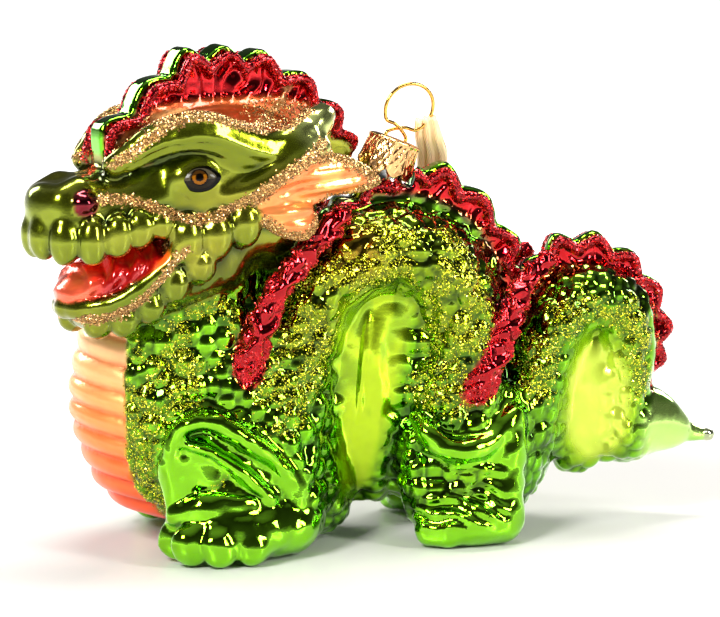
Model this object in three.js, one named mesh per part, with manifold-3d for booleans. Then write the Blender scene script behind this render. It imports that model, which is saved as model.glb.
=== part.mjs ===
// A blown-glass dragon ornament: one hollow glass body with lines and patches of glitter on it,
// a stamped metal cap on its neck, a sprung wire hanger through the cap, and a ribbon on the wire.
// Millimetres, +Z up. The dragon walks towards -X and its head turns towards -Y.
import * as THREE from "three";
import { mergeVertices } from "three/addons/utils/BufferGeometryUtils.js";
import Module from "manifold-3d";

const wasm = await Module();
wasm.setup();

// ---- driving dimensions ----
const WALL = 1.0; // thickness of the blown glass
const GLITTER_GAP = 0.3; // clearance between the glass and a glitter deposit
const GLITTER_TOP = 0.95; // height of a glitter deposit above the glass
const SIDES = 10; // sides of a round section
const HEAD_YAW = 20; // degrees that the head turns from -X towards -Y
const HEAD_PIVOT = [-15, 0]; // x, y of the head's turning axis
const NECK_TILT = 21; // degrees that the neck and cap lean from +Z towards +X
const CAP_TOP = new THREE.Vector3(7.2, 0, 79.6); // middle of the cap's top face
const CAP = { height: 7.2, topR: 5.15, shoulderR: 5.35, rimR: 5.75, sheet: 0.4, facets: 10 };
const NECK = { outerR: 4.2, innerR: 3.4, gapUnderCap: 0.4, depth: 24 };
const WIRE_R = 0.4;
const RING_R = 5.0; // centreline radius of the wire's eye
const RING_YAW = 12; // degrees that the eye turns about the cap's axis
const LEG_APART = 2.1; // half the distance between the two legs
const LEG_OFFSET = 0.5; // each leg passes the other at this distance from the eye's plane
const RIBBON_PLAY = 0.5; // room between the wire and the ribbon folded over it
const ORIGIN = new THREE.Vector3(3.2, 0, 0); // middle of the whole object's base, in the frame used below

function rad(degrees) {
  return (degrees * Math.PI) / 180;
}

// ---- solids ----
function toSolid(geometry) {
  const bare = geometry.clone();
  bare.deleteAttribute("normal");
  bare.deleteAttribute("uv");
  const merged = mergeVertices(bare, 1e-4);
  return new wasm.Manifold(
    new wasm.Mesh({
      numProp: 3,
      vertProperties: new Float32Array(merged.attributes.position.array),
      triVerts: new Uint32Array(merged.index.array),
    }),
  );
}

function toGeometry(solid) {
  const mesh = solid.getMesh();
  return new THREE.BufferGeometry()
    .setAttribute("position", new THREE.BufferAttribute(mesh.vertProperties, 3))
    .setIndex(new THREE.BufferAttribute(mesh.triVerts, 1));
}

function join(solids) {
  return solids.reduce((all, one) => all.add(one));
}

// The one closed surface that holds the most, without slivers and without pockets sealed inside it.
function largest(solid) {
  return solid.decompose().reduce((most, one) => (one.volume() > most.volume() ? one : most));
}

// A rounded limb through stations [x, y, z, radius in the limb's plane, radius along Y], with round ends.
// grow thickens it on all sides, and a negative grow thins it.
function limb(stations, grow = 0, { stepsBetween = 1, sides = SIDES } = {}) {
  const line = new THREE.CatmullRomCurve3(stations.map(([x, y, z]) => new THREE.Vector3(x, y, z)));
  const radii = stations.map(([, , , r, wide = r]) => new THREE.Vector3(r, wide, 0));
  const sizes = new THREE.CatmullRomCurve3(radii);
  const count = (stations.length - 1) * stepsBetween;
  const across = new THREE.Vector3(0, 1, 0);
  const rings = [];
  const ringAt = (t, endward) => {
    const centre = line.getPoint(t);
    const along = line.getTangent(t);
    const size = sizes.getPoint(t);
    const r = size.x + grow;
    const wide = size.y + grow;
    centre.addScaledVector(along, r * Math.sin(endward));
    const normal = new THREE.Vector3().crossVectors(along, across).normalize();
    const side = new THREE.Vector3().crossVectors(normal, along).normalize();
    const shrink = Math.cos(endward);
    return Array.from({ length: sides }, (_, i) => {
      const turn = (2 * Math.PI * i) / sides;
      return centre
        .clone()
        .addScaledVector(side, wide * shrink * Math.cos(turn))
        .addScaledVector(normal, r * shrink * Math.sin(turn));
    });
  };
  const pole = (t, sign) => {
    const r = sizes.getPoint(t).x + grow;
    return line.getPoint(t).addScaledVector(line.getTangent(t), sign * r);
  };
  rings.push(ringAt(0, -rad(50)));
  for (let j = 0; j <= count; j++) rings.push(ringAt(j / count, 0));
  rings.push(ringAt(1, rad(50)));

  const points = [pole(0, -1), ...rings.flat(), pole(1, 1)];
  const faces = [];
  const at = (j, i) => 1 + j * sides + (i % sides);
  for (let i = 0; i < sides; i++) {
    faces.push(0, at(0, i + 1), at(0, i));
    faces.push(points.length - 1, at(rings.length - 1, i), at(rings.length - 1, i + 1));
    for (let j = 0; j + 1 < rings.length; j++) {
      faces.push(at(j, i), at(j, i + 1), at(j + 1, i + 1));
      faces.push(at(j, i), at(j + 1, i + 1), at(j + 1, i));
    }
  }
  return new THREE.BufferGeometry().setFromPoints(points).setIndex(faces);
}

function ellipsoid([x, y, z], [rx, ry, rz], grow = 0) {
  return new THREE.SphereGeometry(1, 12, 7)
    .rotateX(Math.PI / 2)
    .scale(rx + grow, ry + grow, rz + grow)
    .translate(x, y, z);
}

// A flat plate in the XZ plane, halfWidth to each side of y.
function plate(shape, halfWidth, y = 0, curveSegments = 2) {
  return new THREE.ExtrudeGeometry(shape, { depth: 2 * halfWidth, bevelEnabled: false, curveSegments })
    .rotateX(Math.PI / 2)
    .translate(0, y + halfWidth, 0);
}

// A crest's outline: a round scallop at each tip, and a base line inside the glass.
function scallops(tips, base, dip, grow = 0) {
  const foot = new THREE.Vector2(...base[Math.floor(base.length / 2)]);
  const grown = tips.map(([x, z]) => {
    const tip = new THREE.Vector2(x, z);
    return tip.addScaledVector(tip.clone().sub(foot).normalize(), 1.8 * grow).toArray();
  });
  const valley = ([ax, az], [bx, bz]) => {
    const middle = new THREE.Vector2((ax + bx) / 2, (az + bz) / 2);
    const outward = new THREE.Vector2(az - bz, bx - ax).normalize();
    return middle.addScaledVector(outward, -dip);
  };
  const valleys = grown.slice(1).map((tip, i) => valley(grown[i], tip));
  const ends = [...valleys, new THREE.Vector2(...base[0])];
  const shape = new THREE.Shape();
  let from = new THREE.Vector2(...base.at(-1));
  shape.moveTo(from.x, from.y);
  grown.forEach(([x, z], i) => {
    const to = ends[i];
    shape.quadraticCurveTo(2 * x - (from.x + to.x) / 2, 2 * z - (from.y + to.y) / 2, to.x, to.y);
    from = to;
  });
  base.slice(1).forEach(([x, z]) => shape.lineTo(x, z));
  return shape;
}

// ---- the dragon's body, both sides alike ----
const CHEST = [
  [-31, -3, 60, 14, 14],
  [-36.5, -1, 45, 17.5, 16.5],
  [-38.8, 0, 31, 19.6, 18.3],
  [-37, 0, 23.6, 19.6, 18],
];
const FIRST_ARCH = [
  [-12, 0, 11, 10, 14],
  [-15, 0, 28, 9, 15.5],
  [-13.5, 0, 43, 8.5, 15.5],
  [-7, 0, 54.5, 8.5, 15.5],
  [4.5, 0, 59.2, 8.3, 15],
  [14.5, 0, 55, 8.5, 15],
  [19.8, 0, 45, 8.7, 15],
  [18.8, 0, 32, 9.5, 15.5],
  [17, 0, 14, 11, 15],
];
const SECOND_ARCH = [
  [29, 0, 12, 8.5, 12],
  [33.5, 0, 21, 8.5, 12],
  [36, 0, 32, 7.5, 11.5],
  [39, 0, 41, 7, 11],
  [46, 0, 46.8, 7, 10.5],
  [53, 0, 44, 7, 10],
  [54.3, 0, 35, 6.8, 9.5],
  [53.2, 0, 27, 7, 9],
  [55, 0, 20.6, 7.5, 8],
];
const TAIL_TIP = [
  [55, 0, 20.6, 7.5, 8],
  [60.5, 0, 19.3, 6, 6.2],
  [66, 0, 17.8, 3.4, 3.5],
  [70, 0, 17.2, 1.7, 1.7],
  [73.6, 0, 16.8, 1.0, 1.0],
];
const WEBS = [
  { at: [3, 0, 34], size: [17, 9.5, 27] },
  { at: [45.5, 0, 28], size: [10, 6.5, 17] },
];
const FIRST_CREST = {
  tips: [[-5, 68.5], [1.5, 71.5], [8.8, 73.3], [16.3, 73.4], [24.6, 67.3], [30.8, 59], [32, 50]],
  base: [[28, 40], [20, 45], [14, 55], [4, 60], [-6, 56], [-9, 61]],
  halfWidth: 4.4,
};
const SECOND_CREST = {
  tips: [[33, 50.5], [39.8, 58.4], [50.2, 57], [58.3, 51.8], [63.4, 42], [62.4, 34.4], [59.4, 28.4]],
  base: [[57, 25], [54, 34], [52, 44], [46, 47], [39, 42], [33, 40], [31, 45]],
  halfWidth: 3.2,
};

// What is on one side: side is -1 for the side that the head turns to, and 1 for the other.
function flankMasses(side, grow) {
  const y = (stations) => stations.map(([x, dy, z, ...sizes]) => [x, side * dy, z, ...sizes]);
  const small = { sides: 6 };
  return [
    limb(y([[-25, 10, 32, 10, 7], [-28, 13, 20, 9.5, 8], [-26, 16.5, 9, 8.5, 7.5]]), grow),
    limb(y([[-36, 20.5, 4.8, 5.5, 5.5], [-27, 19.5, 5.8, 7, 7.5], [-18, 16.5, 5.3, 6.5, 7]]), grow),
    limb(y([[-36, 19, 3.6, 3.4], [-41, 20.5, 3.4, 3.1]]), grow, small),
    limb(y([[-33, 22, 3.2, 3.2], [-38, 25, 3.0, 3.0]]), grow, small),
    limb(y([[-29, 23, 3.2, 3.2], [-33, 26, 3.0, 3.0]]), grow, small),
    limb(y([[-40, 17.5, 28, 2.4, 3], [-31, 20.5, 24.5, 3, 3], [-22, 19.5, 18, 3.2, 3]]), grow, small),
    limb(y([[20, 8.5, 25, 10, 7.5], [22, 11.5, 14, 9, 7], [21, 12.5, 7, 8, 6.5]]), grow),
    limb(y([[14, 14.5, 4.1, 4.8, 5], [20, 16, 4.4, 5.4, 5.5], [26.5, 14, 4.4, 5.2, 5]]), grow),
    limb(y([[10.5, 14.5, 23, 2.4, 2.6], [19, 16.5, 21.5, 2.8, 2.6], [27.5, 14, 23.5, 2.6, 2.4]]),
      grow, small),
    limb(y([[-8, 12.5, 62.5, 2.6, 2.4], [-17.4, 14.5, 55.5, 3, 2.8], [-23.3, 14.5, 46.5, 3, 2.6],
      [-26, 14, 36, 3, 3]]), grow, small),
    limb(y([[34.2, 7.5, 53, 2.2, 2.2], [29.4, 9.5, 46.5, 2.6, 2.4], [25.8, 12, 39, 3, 2.6],
      [21.8, 13.6, 32, 3, 2.8]]), grow, small),
  ];
}

function bodyMasses(grow) {
  const crest = ({ tips, base, halfWidth }) => plate(scallops(tips, base, 2.2, grow), halfWidth + grow);
  return [
    limb(CHEST, grow, { sides: 14 }),
    limb(FIRST_ARCH, grow),
    limb(SECOND_ARCH, grow),
    limb(TAIL_TIP, grow),
    ...WEBS.map(({ at, size }) => ellipsoid(at, size, grow)),
    crest(FIRST_CREST),
    crest(SECOND_CREST),
    ...flankMasses(-1, grow),
    ...flankMasses(1, grow),
  ];
}

// ---- the head, in its own frame: X forward to the nose, Y to the dragon's left, Z up ----
const headFrame = new THREE.Matrix4()
  .makeTranslation(HEAD_PIVOT[0], HEAD_PIVOT[1], 0)
  .multiply(new THREE.Matrix4().makeRotationZ(Math.PI + rad(HEAD_YAW)));
const HEAD_CREST = {
  tips: [[40.5, 84.5], [30.5, 93], [20.6, 97.9], [11.5, 98], [2.5, 97], [-7, 90.5], [-13.2, 81.5]],
  base: [[-14, 74], [0, 72], [20, 74], [38, 74], [41, 78]],
  halfWidth: 4.5,
};
const SKULL = { at: [17.5, 0, 75], size: [21, 15.5, 12.5] };
const MUZZLE = [[26, 0, 70, 9.5, 13], [36, 0, 69, 8.6, 11.5], [46, 0, 67, 8, 10], [49, 0, 66, 6.8, 9.5]];
const JAW = [[21, 0, 60, 7.5, 13], [32, 0, 54.5, 6.5, 12], [40, 0, 51, 5, 9.5], [44, 0, 50.5, 4.2, 7.5]];
const EAR_MIDDLE = [4, 71];
const EAR = [
  [17, 70.5], [12, 75.5], [5, 78.6], [-2, 77.6], [-10.8, 73],
  [-4, 69.6], [3, 66.3], [8, 63], [13.5, 65.2],
];

// The ear's outline, scaled about its middle.
function earOutline(scale) {
  const middle = new THREE.Vector2(...EAR_MIDDLE);
  const scaled = ([f, z]) => new THREE.Vector2(f, z).sub(middle).multiplyScalar(scale).add(middle);
  return new THREE.Shape(EAR.map(scaled));
}

function headMasses(grow) {
  const small = { sides: 6 };
  const onSide = (side) => (list) => list.map(([f, l, z, ...r]) => [f, side * l, z, ...r]);
  const bothSides = (make) => [1, -1].flatMap((side) => make(onSide(side), side));
  const ear = earOutline(1 + grow / 5);
  return [
    ellipsoid(SKULL.at, SKULL.size, grow),
    limb(MUZZLE, grow),
    limb(JAW, grow),
    limb([[32, 0, 59.5, 4, 9], [40, 0, 56.5, 3.6, 7.5], [47, 0, 54.8, 2.6, 5.5]], grow, small),
    plate(scallops(HEAD_CREST.tips, HEAD_CREST.base, 2.4, grow), HEAD_CREST.halfWidth + grow),
    ...bothSides((m, side) => [
      limb(m([[41, 7, 77, 2.2], [33, 9, 81.5, 3.2], [24, 11, 83, 3.8], [14, 12.5, 81.2, 4],
        [5.5, 13.5, 82, 3.8], [-1, 12.5, 87.5, 2.4]]), grow, small),
      limb(m([[48, 4.6, 72.6, 3.4], [51, 4.2, 70.5, 3.2]]), grow, small),
      limb(m([[47, 6.5, 63.5, 3.6], [33, 10, 65.5, 3.4]]), grow, small),
      limb(m([[30.5, 11.5, 62.8, 4], [24, 13, 64, 4.2], [17.5, 13.5, 66, 4]]), grow, small),
      limb(m([[42, 6.5, 48.8, 2.8], [36, 9, 50.5, 3.4], [28, 11.5, 56, 3.8]]), grow, small),
      plate(ear, 1.6 + grow, side * 15.8),
    ]),
  ].map((geometry) => geometry.applyMatrix4(headFrame));
}

// ---- the glass ----
// Its local +Z is the cap's axis.
const onNeck = new THREE.Matrix4().makeRotationY(rad(NECK_TILT)).setPosition(CAP_TOP);
const underBox = new THREE.BoxGeometry(400, 400, 60).translate(0, 0, -30);

function placed(geometry) {
  return geometry.applyMatrix4(onNeck);
}

function cylinder(radius, fromZ, toZ, sides = 20) {
  return new THREE.CylinderGeometry(radius, radius, toZ - fromZ, sides)
    .rotateX(Math.PI / 2)
    .translate(0, 0, (fromZ + toZ) / 2);
}

function outerGlass(grow) {
  const neckTop = -CAP.sheet - NECK.gapUnderCap + grow;
  const neck = placed(cylinder(NECK.outerR + grow, -NECK.depth, neckTop));
  const capRoom = placed(cylinder(CAP.rimR + 0.7, -CAP.height - 0.8, 12, 14));
  const dragon = join([...bodyMasses(grow), ...headMasses(grow)].map(toSolid));
  return largest(dragon.subtract(toSolid(capRoom)).add(toSolid(neck)).subtract(toSolid(underBox)));
}

// The hollow follows the large masses and the muzzle: small moulded features are thick glass.
function hollow() {
  const inner = [CHEST, FIRST_ARCH, SECOND_ARCH].map((stations) => limb(stations, -WALL));
  inner.push(limb(MUZZLE, -WALL).applyMatrix4(headFrame));
  inner.push(...WEBS.map(({ at, size }) => ellipsoid(at, size, -WALL)));
  inner.push(ellipsoid(SKULL.at, SKULL.size, -WALL).applyMatrix4(headFrame));
  inner.push(placed(cylinder(NECK.innerR, -NECK.depth, 2)));
  return join(inner.map(toSolid));
}

const glass = outerGlass(0);
const deposit = outerGlass(GLITTER_TOP).subtract(outerGlass(GLITTER_GAP));

// ---- glitter: a thin deposit where a region reaches the glass ----
// A region is a flattened limb beside the glass, along a line of [x, z, half-width] points.
function flankRegion(line, side, near, far) {
  const middle = (side * (near + far)) / 2;
  return limb(line.map(([x, z, r]) => [x, middle, z, r, (far - near) / 2]), 0, { sides: 6 });
}

const RED_EDGE = 2.4; // half the height of the red deposit along a crest
const redCrest = ({ tips, halfWidth }, first, last) => (side) => {
  const line = tips.slice(first, last).map(([x, z]) => [x, z, RED_EDGE]);
  return flankRegion(line, side, halfWidth - 0.8, halfWidth + 3);
};

const BODY_GLITTER = {
  red_glitter_back_crest: redCrest(FIRST_CREST, 3, 6),
  red_glitter_tail_crest: redCrest(SECOND_CREST, 1, 7),
  red_glitter_neck_frill: (side) =>
    flankRegion([[-9, 63, 1.5], [-18.6, 56, 1.6], [-24.6, 46.6, 1.7], [-27, 37, 2.2]], side, 9, 24),
  red_glitter_tail_frill: (side) =>
    flankRegion([[33, 52.6, 1.5], [28.2, 46.6, 1.6], [24.8, 40, 1.7], [22.4, 35, 1.7]], side, 6, 22),
  lime_glitter_neck: (side) =>
    flankRegion([[-29, 52, 3.2], [-36, 42, 6.5], [-43, 29, 6], [-44, 17, 5]], side, 7, 26),
  lime_glitter_back: (side) =>
    flankRegion([[-15.5, 30, 4.5], [-13, 43, 5], [-6.5, 53, 5.5], [4.5, 56.5, 6.5], [14, 53, 5.5],
      [16, 44.5, 4.5], [15.5, 36, 3]], side, 6, 22),
  lime_glitter_tail: (side) =>
    flankRegion([[34, 31, 3], [38, 40, 3.2], [45.5, 45.5, 3.5], [52, 43, 3.5], [55, 36, 3]], side, 4, 16),
};
const HEAD_GLITTER = {
  red_glitter_head_crest: redCrest(HEAD_CREST, 0, 7),
  gold_glitter_brow: (side) =>
    flankRegion([[42, 77.8, 1.2], [34, 85, 1.2], [25, 87, 1.2], [14.5, 86, 1.2], [4, 87, 1.2]],
      side, 5, 22),
  gold_glitter_cheek: (side) =>
    flankRegion([[46, 70.8, 1.2], [40, 71.4, 1.2], [33.5, 69, 1.3], [27, 67.4, 1.3], [20.6, 68.6, 1.3]],
      side, 6, 26),
  gold_glitter_jaw: (side) =>
    flankRegion([[45, 48.8, 1.1], [42.5, 49.4, 1.1], [37, 53.6, 1.1], [32, 60, 1.1]], side, 2, 22),
};

function glitterPiece(name, region) {
  return [name, largest(deposit.intersect(toSolid(region)))];
}

const glitter = [
  ...Object.entries(BODY_GLITTER).flatMap(([name, region]) => [
    glitterPiece(`${name}_left`, region(-1)),
    glitterPiece(`${name}_right`, region(1)),
  ]),
  ...Object.entries(HEAD_GLITTER).flatMap(([name, region]) => [
    glitterPiece(`${name}_left`, region(1).applyMatrix4(headFrame)),
    glitterPiece(`${name}_right`, region(-1).applyMatrix4(headFrame)),
  ]),
];
// A gold rim round each ear, on the ear's outer face.
for (const [name, side] of [["gold_glitter_ear_left", 1], ["gold_glitter_ear_right", -1]]) {
  const rim = earOutline(0.97);
  rim.holes.push(new THREE.Path(earOutline(0.66).getPoints()));
  const region = plate(rim, 1.5, side * 18.4).applyMatrix4(headFrame);
  glitter.push(glitterPiece(name, region));
}

// ---- the cap: a faceted cup of thin sheet with a scalloped rim and two slots ----
function capSolid() {
  const { height, topR, shoulderR, rimR, sheet, facets } = CAP;
  const profile = [
    [0, 0], [topR, 0], [shoulderR, -0.8], [rimR, -height], [rimR - sheet, -height],
    [shoulderR - sheet, -0.9 - sheet * 0.2], [topR - sheet, -sheet], [0, -sheet],
  ].map(([r, z]) => new THREE.Vector2(r, z));
  const cup = new THREE.LatheGeometry([...profile].reverse(), facets).rotateX(Math.PI / 2);
  let solid = toSolid(cup);
  for (let i = 0; i < facets; i++) {
    const notch = new THREE.CylinderGeometry(0.9, 0.9, 4, 4).rotateX(Math.PI / 2).rotateY(Math.PI / 2)
      .translate(rimR, 0, -height - 0.25).rotateZ((2 * Math.PI * (i + 0.5)) / facets);
    solid = solid.subtract(toSolid(notch));
  }
  for (const x of [-LEG_APART, LEG_APART]) {
    const y = -Math.sign(x) * LEG_OFFSET;
    const slot = cylinder(WIRE_R + 0.45, -2, 1, 10).translate(x, y, 0).rotateZ(rad(RING_YAW));
    solid = solid.subtract(toSolid(slot));
  }
  return solid;
}

// ---- the hanger: one wire, whose eye's ends cross above the cap and go down through the slots ----
function hangerPath() {
  const eyeZ = 1.5 + RING_R;
  const open = 42; // degrees from the foot of the eye to where each end leaves it
  const eye = [];
  for (let turn = open - 180; turn <= 180 - open; turn += 23) {
    eye.push([RING_R * Math.sin(rad(turn)), 0, eyeZ + RING_R * Math.cos(rad(turn))]);
  }
  const leg = [
    [2.6, -LEG_OFFSET, -9.5], [2.35, -LEG_OFFSET, -7.4], [LEG_APART, -LEG_OFFSET, -5],
    [LEG_APART, -LEG_OFFSET, -0.5], [1.6, -LEG_OFFSET, 1.0], [-1.2, -LEG_OFFSET, 2.5],
  ];
  const otherLeg = leg.map(([x, y, z]) => [-x, -y, z]).reverse();
  const lean = ([x, y, z]) => new THREE.Vector3(x + 0.1 * Math.max(0, z - 1), y, z);
  return new THREE.CatmullRomCurve3([...leg, ...eye, ...otherLeg].map(lean));
}

function hangerGeometry(grow = 0) {
  const section = new THREE.Shape().absarc(0, 0, WIRE_R + grow, 0, 2 * Math.PI);
  const wire = { steps: 60, extrudePath: hangerPath(), curveSegments: 4 };
  return placed(new THREE.ExtrudeGeometry(section, wire).rotateZ(rad(RING_YAW)));
}

// ---- the ribbon: folded over the eye's lower side, both its ends behind the back crest ----
const RIBBON = [
  [13.9, 0.9, 82.6, 1.8, 1.7],
  [14.9, 3.0, 79.4, 2.1, 1.1],
  [16.6, 7.2, 75.8, 2.6, 0.9],
  [17.6, 11.8, 71.2, 3.0, 0.8],
  [18.0, 16.4, 65.6, 3.2, 0.8],
  [18.0, 19.4, 58.0, 3.2, 0.8],
  [18.0, 20.0, 51.0, 3.2, 0.8],
  [18.0, 20.0, 45.5, 3.0, 0.8],
];

function ribbonGeometry() {
  const folded = toSolid(limb(RIBBON, 0, { sides: 8 }));
  return toGeometry(folded.subtract(toSolid(hangerGeometry(RIBBON_PLAY))));
}

// ---- materials ----
function lacquer(color, roughness = 0.12, metalness = 0.9) {
  return new THREE.MeshStandardMaterial({ color, roughness, metalness });
}

const MATERIALS = {
  glass: lacquer(0x5fae1c),
  red: lacquer(0xb3121c, 0.5, 0.4),
  gold: lacquer(0xc79a5a, 0.5, 0.6),
  lime: lacquer(0xb9c82a, 0.5, 0.5),
  cap: lacquer(0xe3b877, 0.25, 1),
  wire: lacquer(0xd9a941, 0.25, 1),
  ribbon: lacquer(0xf3b98a, 0.6, 0),
};

// ---- assembly ----
const dragon = new THREE.Group();
function add(name, geometry, material) {
  const mesh = new THREE.Mesh(geometry, material);
  mesh.name = name;
  mesh.position.copy(ORIGIN).negate();
  dragon.add(mesh);
}

add("glass_body", toGeometry(glass.subtract(hollow())), MATERIALS.glass);
add("cap", placed(toGeometry(capSolid())), MATERIALS.cap);
add("hanger_wire", hangerGeometry(), MATERIALS.wire);
add("ribbon", ribbonGeometry(), MATERIALS.ribbon);
for (const [name, solid] of glitter) add(name, toGeometry(solid), MATERIALS[name.split("_")[0]]);

export default dragon;
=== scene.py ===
"""The looks of a blown-glass dragon ornament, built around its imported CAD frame."""
import math

import bmesh
import bpy
import numpy as np
import openvdb as vdb
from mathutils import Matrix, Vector
from mathutils.kdtree import KDTree


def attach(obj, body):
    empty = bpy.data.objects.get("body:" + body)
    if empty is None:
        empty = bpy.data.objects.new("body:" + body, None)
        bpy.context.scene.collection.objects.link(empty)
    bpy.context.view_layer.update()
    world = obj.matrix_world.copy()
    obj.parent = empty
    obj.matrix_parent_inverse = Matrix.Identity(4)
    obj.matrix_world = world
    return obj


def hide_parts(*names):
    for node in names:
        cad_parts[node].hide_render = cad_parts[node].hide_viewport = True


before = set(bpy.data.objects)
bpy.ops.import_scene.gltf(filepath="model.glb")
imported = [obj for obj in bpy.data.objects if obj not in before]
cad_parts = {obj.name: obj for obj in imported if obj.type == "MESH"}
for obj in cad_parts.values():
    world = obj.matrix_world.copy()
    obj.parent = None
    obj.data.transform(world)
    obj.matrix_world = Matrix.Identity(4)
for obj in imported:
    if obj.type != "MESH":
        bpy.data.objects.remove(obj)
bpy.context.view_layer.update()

# The sculpt is worked in millimetres, in the frame that the CAD source names its sizes in.
MM = 0.001
SHIFT = np.array([3.2, 0.0, 0.0])
RNG = np.random.default_rng(7)


def metres(points):
    return (np.asarray(points, float) - SHIFT) * MM


# ---------------------------------------------------------------- camera
def look_at(obj, target):
    obj.rotation_euler = (Vector(target) - obj.location).to_track_quat("-Z", "Y").to_euler()


camera = bpy.data.objects.new("camera", bpy.data.cameras.new("camera"))
bpy.context.scene.collection.objects.link(camera)
camera.data.sensor_width = 36
camera.data.lens = 150
camera.data.clip_start = 0.01
AZ, EL, REACH = math.radians(-12), math.radians(9), 0.6
AIM = Vector((-SHIFT[0] * MM, 0, 0.0455))
camera.location = AIM + REACH * Vector(
    (math.sin(AZ) * math.cos(EL), -math.cos(AZ) * math.cos(EL), math.sin(EL)))
look_at(camera, AIM)
bpy.context.scene.camera = camera


# ---------------------------------------------------------------- distance fields
def cone(x, y, z, a, b):
    """Signed distance to a tapered rod from a to b, each (x, y, z, radius, half-width along Y)."""
    d = np.array(b[:3]) - a[:3]
    t = ((x - a[0]) * d[0] + (y - a[1]) * d[1] + (z - a[2]) * d[2]) / max(d @ d, 1e-6)
    t = np.clip(t, 0, 1)
    r = a[3] + (b[3] - a[3]) * t
    w = a[4] + (b[4] - a[4]) * t
    qy = (y - a[1] - d[1] * t) * (r / w)
    return np.sqrt((x - a[0] - d[0] * t) ** 2 + qy ** 2 + (z - a[2] - d[2] * t) ** 2) - r


def ball(x, y, z, c, r):
    """Signed distance, nearly, to an ellipsoid."""
    ax, ay, az = (x - c[0]) / r[0], (y - c[1]) / r[1], (z - c[2]) / r[2]
    k0 = np.sqrt(ax ** 2 + ay ** 2 + az ** 2) + 1e-6
    k1 = np.sqrt((ax / r[0]) ** 2 + (ay / r[1]) ** 2 + (az / r[2]) ** 2) + 1e-6
    return k0 * (k0 - 1) / k1


def stations(points, per=4):
    """A Catmull-Rom curve through points of (x, y, z, radius[, half-width]), per pieces a span."""
    p = np.array([list(q) + [q[3]] * (5 - len(q)) for q in points], float)
    ext = np.vstack([2 * p[0] - p[1], p, 2 * p[-1] - p[-2]])
    out = []
    for i in range(len(p) - 1):
        a, b, c, d = ext[i:i + 4]
        for t in np.arange(per) / per:
            out.append(0.5 * (2 * b + (c - a) * t + (2 * a - 5 * b + 4 * c - d) * t ** 2
                              + (3 * b - a - 3 * c + d) * t ** 3))
    out.append(p[-1])
    out = np.array(out)
    out[:, 3:] = np.maximum(out[:, 3:], 0.3)
    return out


def smin(a, b, k):
    h = np.maximum(k - np.abs(a - b), 0) / k
    return np.minimum(a, b) - h * h * k / 4


class Limb:
    """A smooth limb through stations, or straight from point to point where per is 0."""

    def __init__(self, points, per=4):
        self.s = stations(points, per) if per else np.array(points, float)

    def box(self):
        r = self.s[:, 3:].max(axis=1)[:, None]
        return (self.s[:, :3] - r).min(0), (self.s[:, :3] + r).max(0)

    def __call__(self, x, y, z):
        d = None
        for a, b in zip(self.s[:-1], self.s[1:]):
            e = cone(x, y, z, a, b)
            d = e if d is None else np.minimum(d, e)
        return d


class Ball:
    def __init__(self, c, r):
        self.c, self.r = np.array(c, float), np.array(r, float)

    def box(self):
        return self.c - self.r, self.c + self.r

    def __call__(self, x, y, z):
        return ball(x, y, z, self.c, self.r)


class Fin:
    """A plate with an outline in the XZ plane, as thick as half to each side of that plane."""

    def __init__(self, outline, half):
        self.o, self.half = np.array(outline, float), half

    def box(self):
        lo, hi = self.o.min(0), self.o.max(0)
        return np.array([lo[0], -self.half - 1, lo[1]]), np.array([hi[0], self.half + 1, hi[1]])

    def flat(self, x, z):
        """Signed distance to the outline."""
        best = np.full(np.broadcast(x, z).shape, 1e9)
        inside = np.zeros(best.shape, bool)
        o = self.o
        for a, b in zip(o, np.roll(o, -1, axis=0)):
            e = b - a
            t = np.clip(((x - a[0]) * e[0] + (z - a[1]) * e[1]) / (e @ e + 1e-9), 0, 1)
            best = np.minimum(best, (x - a[0] - e[0] * t) ** 2 + (z - a[1] - e[1] * t) ** 2)
            if a[1] != b[1]:
                cross = (a[1] > z) != (b[1] > z)
                inside ^= cross & (x < a[0] + (z - a[1]) * e[0] / (b[1] - a[1]))
        return np.where(inside, -1, 1) * np.sqrt(best)

    def looked_up(self, f, zs):
        """The same distance for columns at f, read from a table."""
        cell = 0.25
        fs = np.arange(self.o[:, 0].min() - 6, self.o[:, 0].max() + 6, cell)
        table = self.flat(fs[:, None], zs[None, :])
        place = np.clip((f - fs[0]) / cell, 0, len(fs) - 1.001)
        i = place.astype(int)
        t = (place - i)[..., None]
        return table[i] * (1 - t) + table[i + 1] * t

    def __call__(self, x, y, z, flat=None):
        d = self.flat(x, z) if flat is None else flat
        e = np.abs(y) - self.half
        round_edge = 0.9
        dx, dy = np.maximum(d + round_edge, 0), np.maximum(e + round_edge, 0)
        return np.sqrt(dx ** 2 + dy ** 2) + np.minimum(np.maximum(d, e) + round_edge, 0) - round_edge


LOBE_POINTS = 7


def scalloped(tips, base, dip, per=LOBE_POINTS, lift=0.0, sharp=0.45):
    """An outline with a blunt point at each tip, closed by a base line inside the glass."""
    tips = np.array(tips, float)
    middle = np.array(base, float).mean(0)
    tips = tips + lift * (tips - middle) / np.linalg.norm(tips - middle, axis=1)[:, None]
    halfway = (tips[:-1] + tips[1:]) / 2
    step = tips[1:] - tips[:-1]
    out = np.stack([-step[:, 1], step[:, 0]], 1) / np.linalg.norm(step, axis=1)[:, None]
    out *= np.sign(np.sum(out * (halfway - middle), 1))[:, None]
    ends = [np.array(base[-1], float), *(halfway - out * dip), np.array(base[0], float)]
    ring = []
    for tip, a, b in zip(tips, ends, ends[1:]):
        control = 2 * tip - (a + b) / 2
        for t in np.arange(per) / per:
            lobe = (1 - t) ** 2 * a + 2 * t * (1 - t) * control + t * t * b
            tent = a + (tip - a) * 2 * t if t < 0.5 else tip + (b - tip) * (2 * t - 1)
            ring.append(lobe * (1 - sharp) + tent * sharp)
    return np.vstack([ring, np.array(base, float)])


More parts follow.
